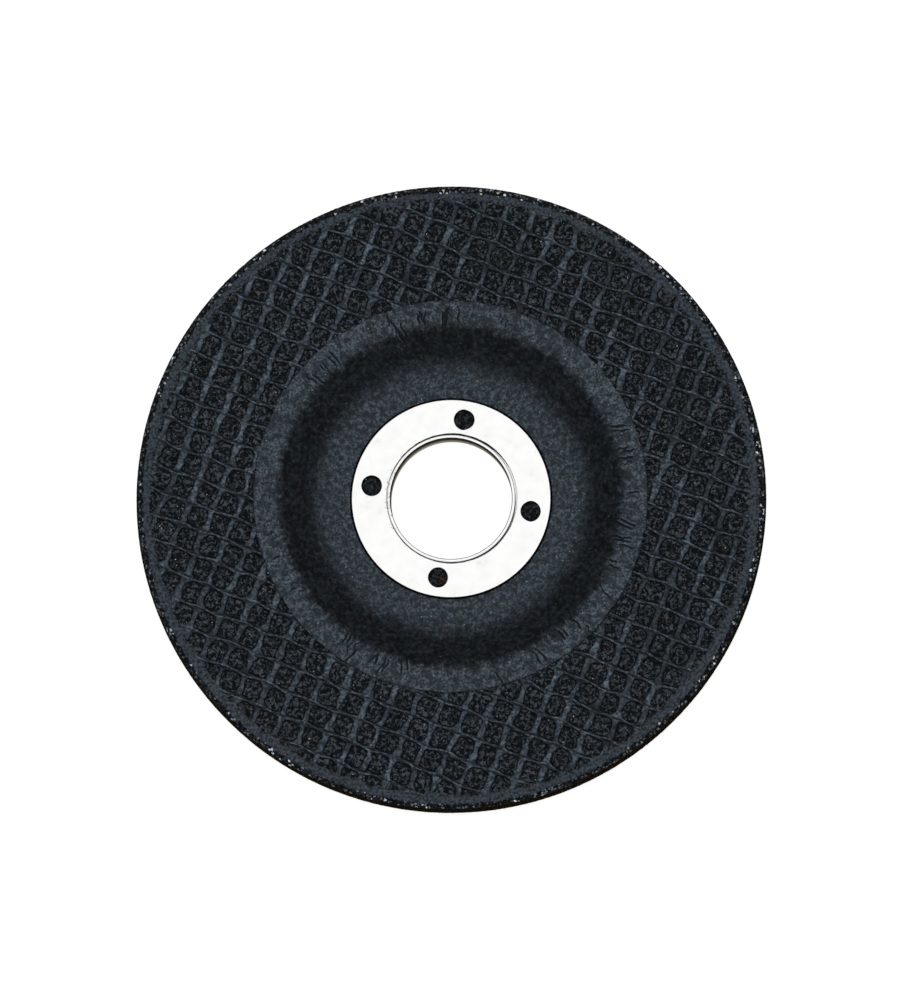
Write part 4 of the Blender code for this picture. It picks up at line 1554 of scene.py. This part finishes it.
def make_floor():
    """A wide plane just under the hub."""
    half = FLOOR_SIZE / 2
    corners = [(x, y, FLOOR_LEVEL) for x, y in ((-half, -half), (half, -half), (half, half), (-half, half))]
    mesh = bpy.data.meshes.new("floor")
    mesh.from_pydata(corners, [], [(0, 1, 2, 3)])
    mesh.materials.append(floor_finish())
    floor = bpy.data.objects.new("floor", mesh)
    bpy.context.scene.collection.objects.link(floor)


make_floor()
print("floor", FLOOR_SIZE, "m wide,", round(FLOOR_LEVEL / MM, 2), "mm high")

# %% [markdown]
# ## Light
# One broad, soft light from above: a big disc of light overhead gives that. It also gives the
# black surface its greys, because flats mirror it and slopes don't. An even world fills the rest.

# %% Light
SOFTBOX_HEIGHT = 2.4
SOFTBOX_RADIUS = 2.2
SOFTBOX_RADIANCE = 1.36
WORLD_LEVEL = 0.30


def make_light():
    """One round softbox overhead, and an even world for the rest. A disc's energy is its radiance
    times pi times its area."""
    light = bpy.data.lights.new("softbox", "AREA")
    light.shape = "DISK"
    light.size = 2 * SOFTBOX_RADIUS
    light.energy = SOFTBOX_RADIANCE * math.pi * math.pi * SOFTBOX_RADIUS**2
    softbox = bpy.data.objects.new("softbox", light)
    softbox.location = (0.0, 0.0, SOFTBOX_HEIGHT)
    bpy.context.scene.collection.objects.link(softbox)
    world = bpy.data.worlds.new("studio")
    world.use_nodes = True
    backdrop = world.node_tree.nodes["Background"]
    backdrop.inputs["Color"].default_value = WHITE
    backdrop.inputs["Strength"].default_value = WORLD_LEVEL
    bpy.context.scene.world = world


make_light()
sky_share = SOFTBOX_RADIUS**2 / (SOFTBOX_RADIUS**2 + SOFTBOX_HEIGHT**2)
print("plain level", round(SOFTBOX_RADIANCE * sky_share, 2))

# %% [markdown]
# ## Camera
# The photograph looks nearly straight down, leaning a little towards the viewer: the outer wall
# shows at the lower right and the far wall of the bore at the top. The lean and the distance were
# worked out from where the circles at different heights lie in the picture.

# %% Camera
CAMERA_DISTANCE = 1.1
CAMERA_LEAN = math.radians(7.3)
CAMERA_SIDE = math.radians(-77.0)
PIXELS_PER_MM = 5.4740
FRAME_HEIGHT = 1000
FRAME_WIDTH = 900
HUB_PIXEL = (451.1, 498.5)
SENSOR_WIDTH = 36.0


def make_camera():
    """A camera that looks at the hub from the lean, with the disc's +Y up in the picture."""
    aside, above = math.sin(CAMERA_LEAN), math.cos(CAMERA_LEAN)
    toward = Vector((aside * math.cos(CAMERA_SIDE), aside * math.sin(CAMERA_SIDE), above))
    right = (-toward).cross(Vector((0, 1, 0))).normalized()
    turn = Matrix((right, toward.cross(right), toward)).transposed().to_4x4()
    place = Vector((0, 0, HUB_Z)) + toward * CAMERA_DISTANCE
    camera = bpy.data.objects.new("camera", bpy.data.cameras.new("camera"))
    bpy.context.scene.collection.objects.link(camera)
    camera.matrix_world = Matrix.Translation(place) @ turn
    lens = camera.data
    lens.sensor_width = SENSOR_WIDTH
    lens.lens = SENSOR_WIDTH * CAMERA_DISTANCE * PIXELS_PER_MM / MM / FRAME_HEIGHT
    lens.shift_x = (FRAME_WIDTH / 2 - HUB_PIXEL[0]) / FRAME_HEIGHT
    lens.shift_y = (HUB_PIXEL[1] - FRAME_HEIGHT / 2) / FRAME_HEIGHT
    lens.clip_start, lens.clip_end = 0.01, 50.0
    bpy.context.scene.camera = camera
    return camera


print("lens", round(make_camera().data.lens, 1), "mm")
bpy.context.scene.view_settings.view_transform = "Standard"
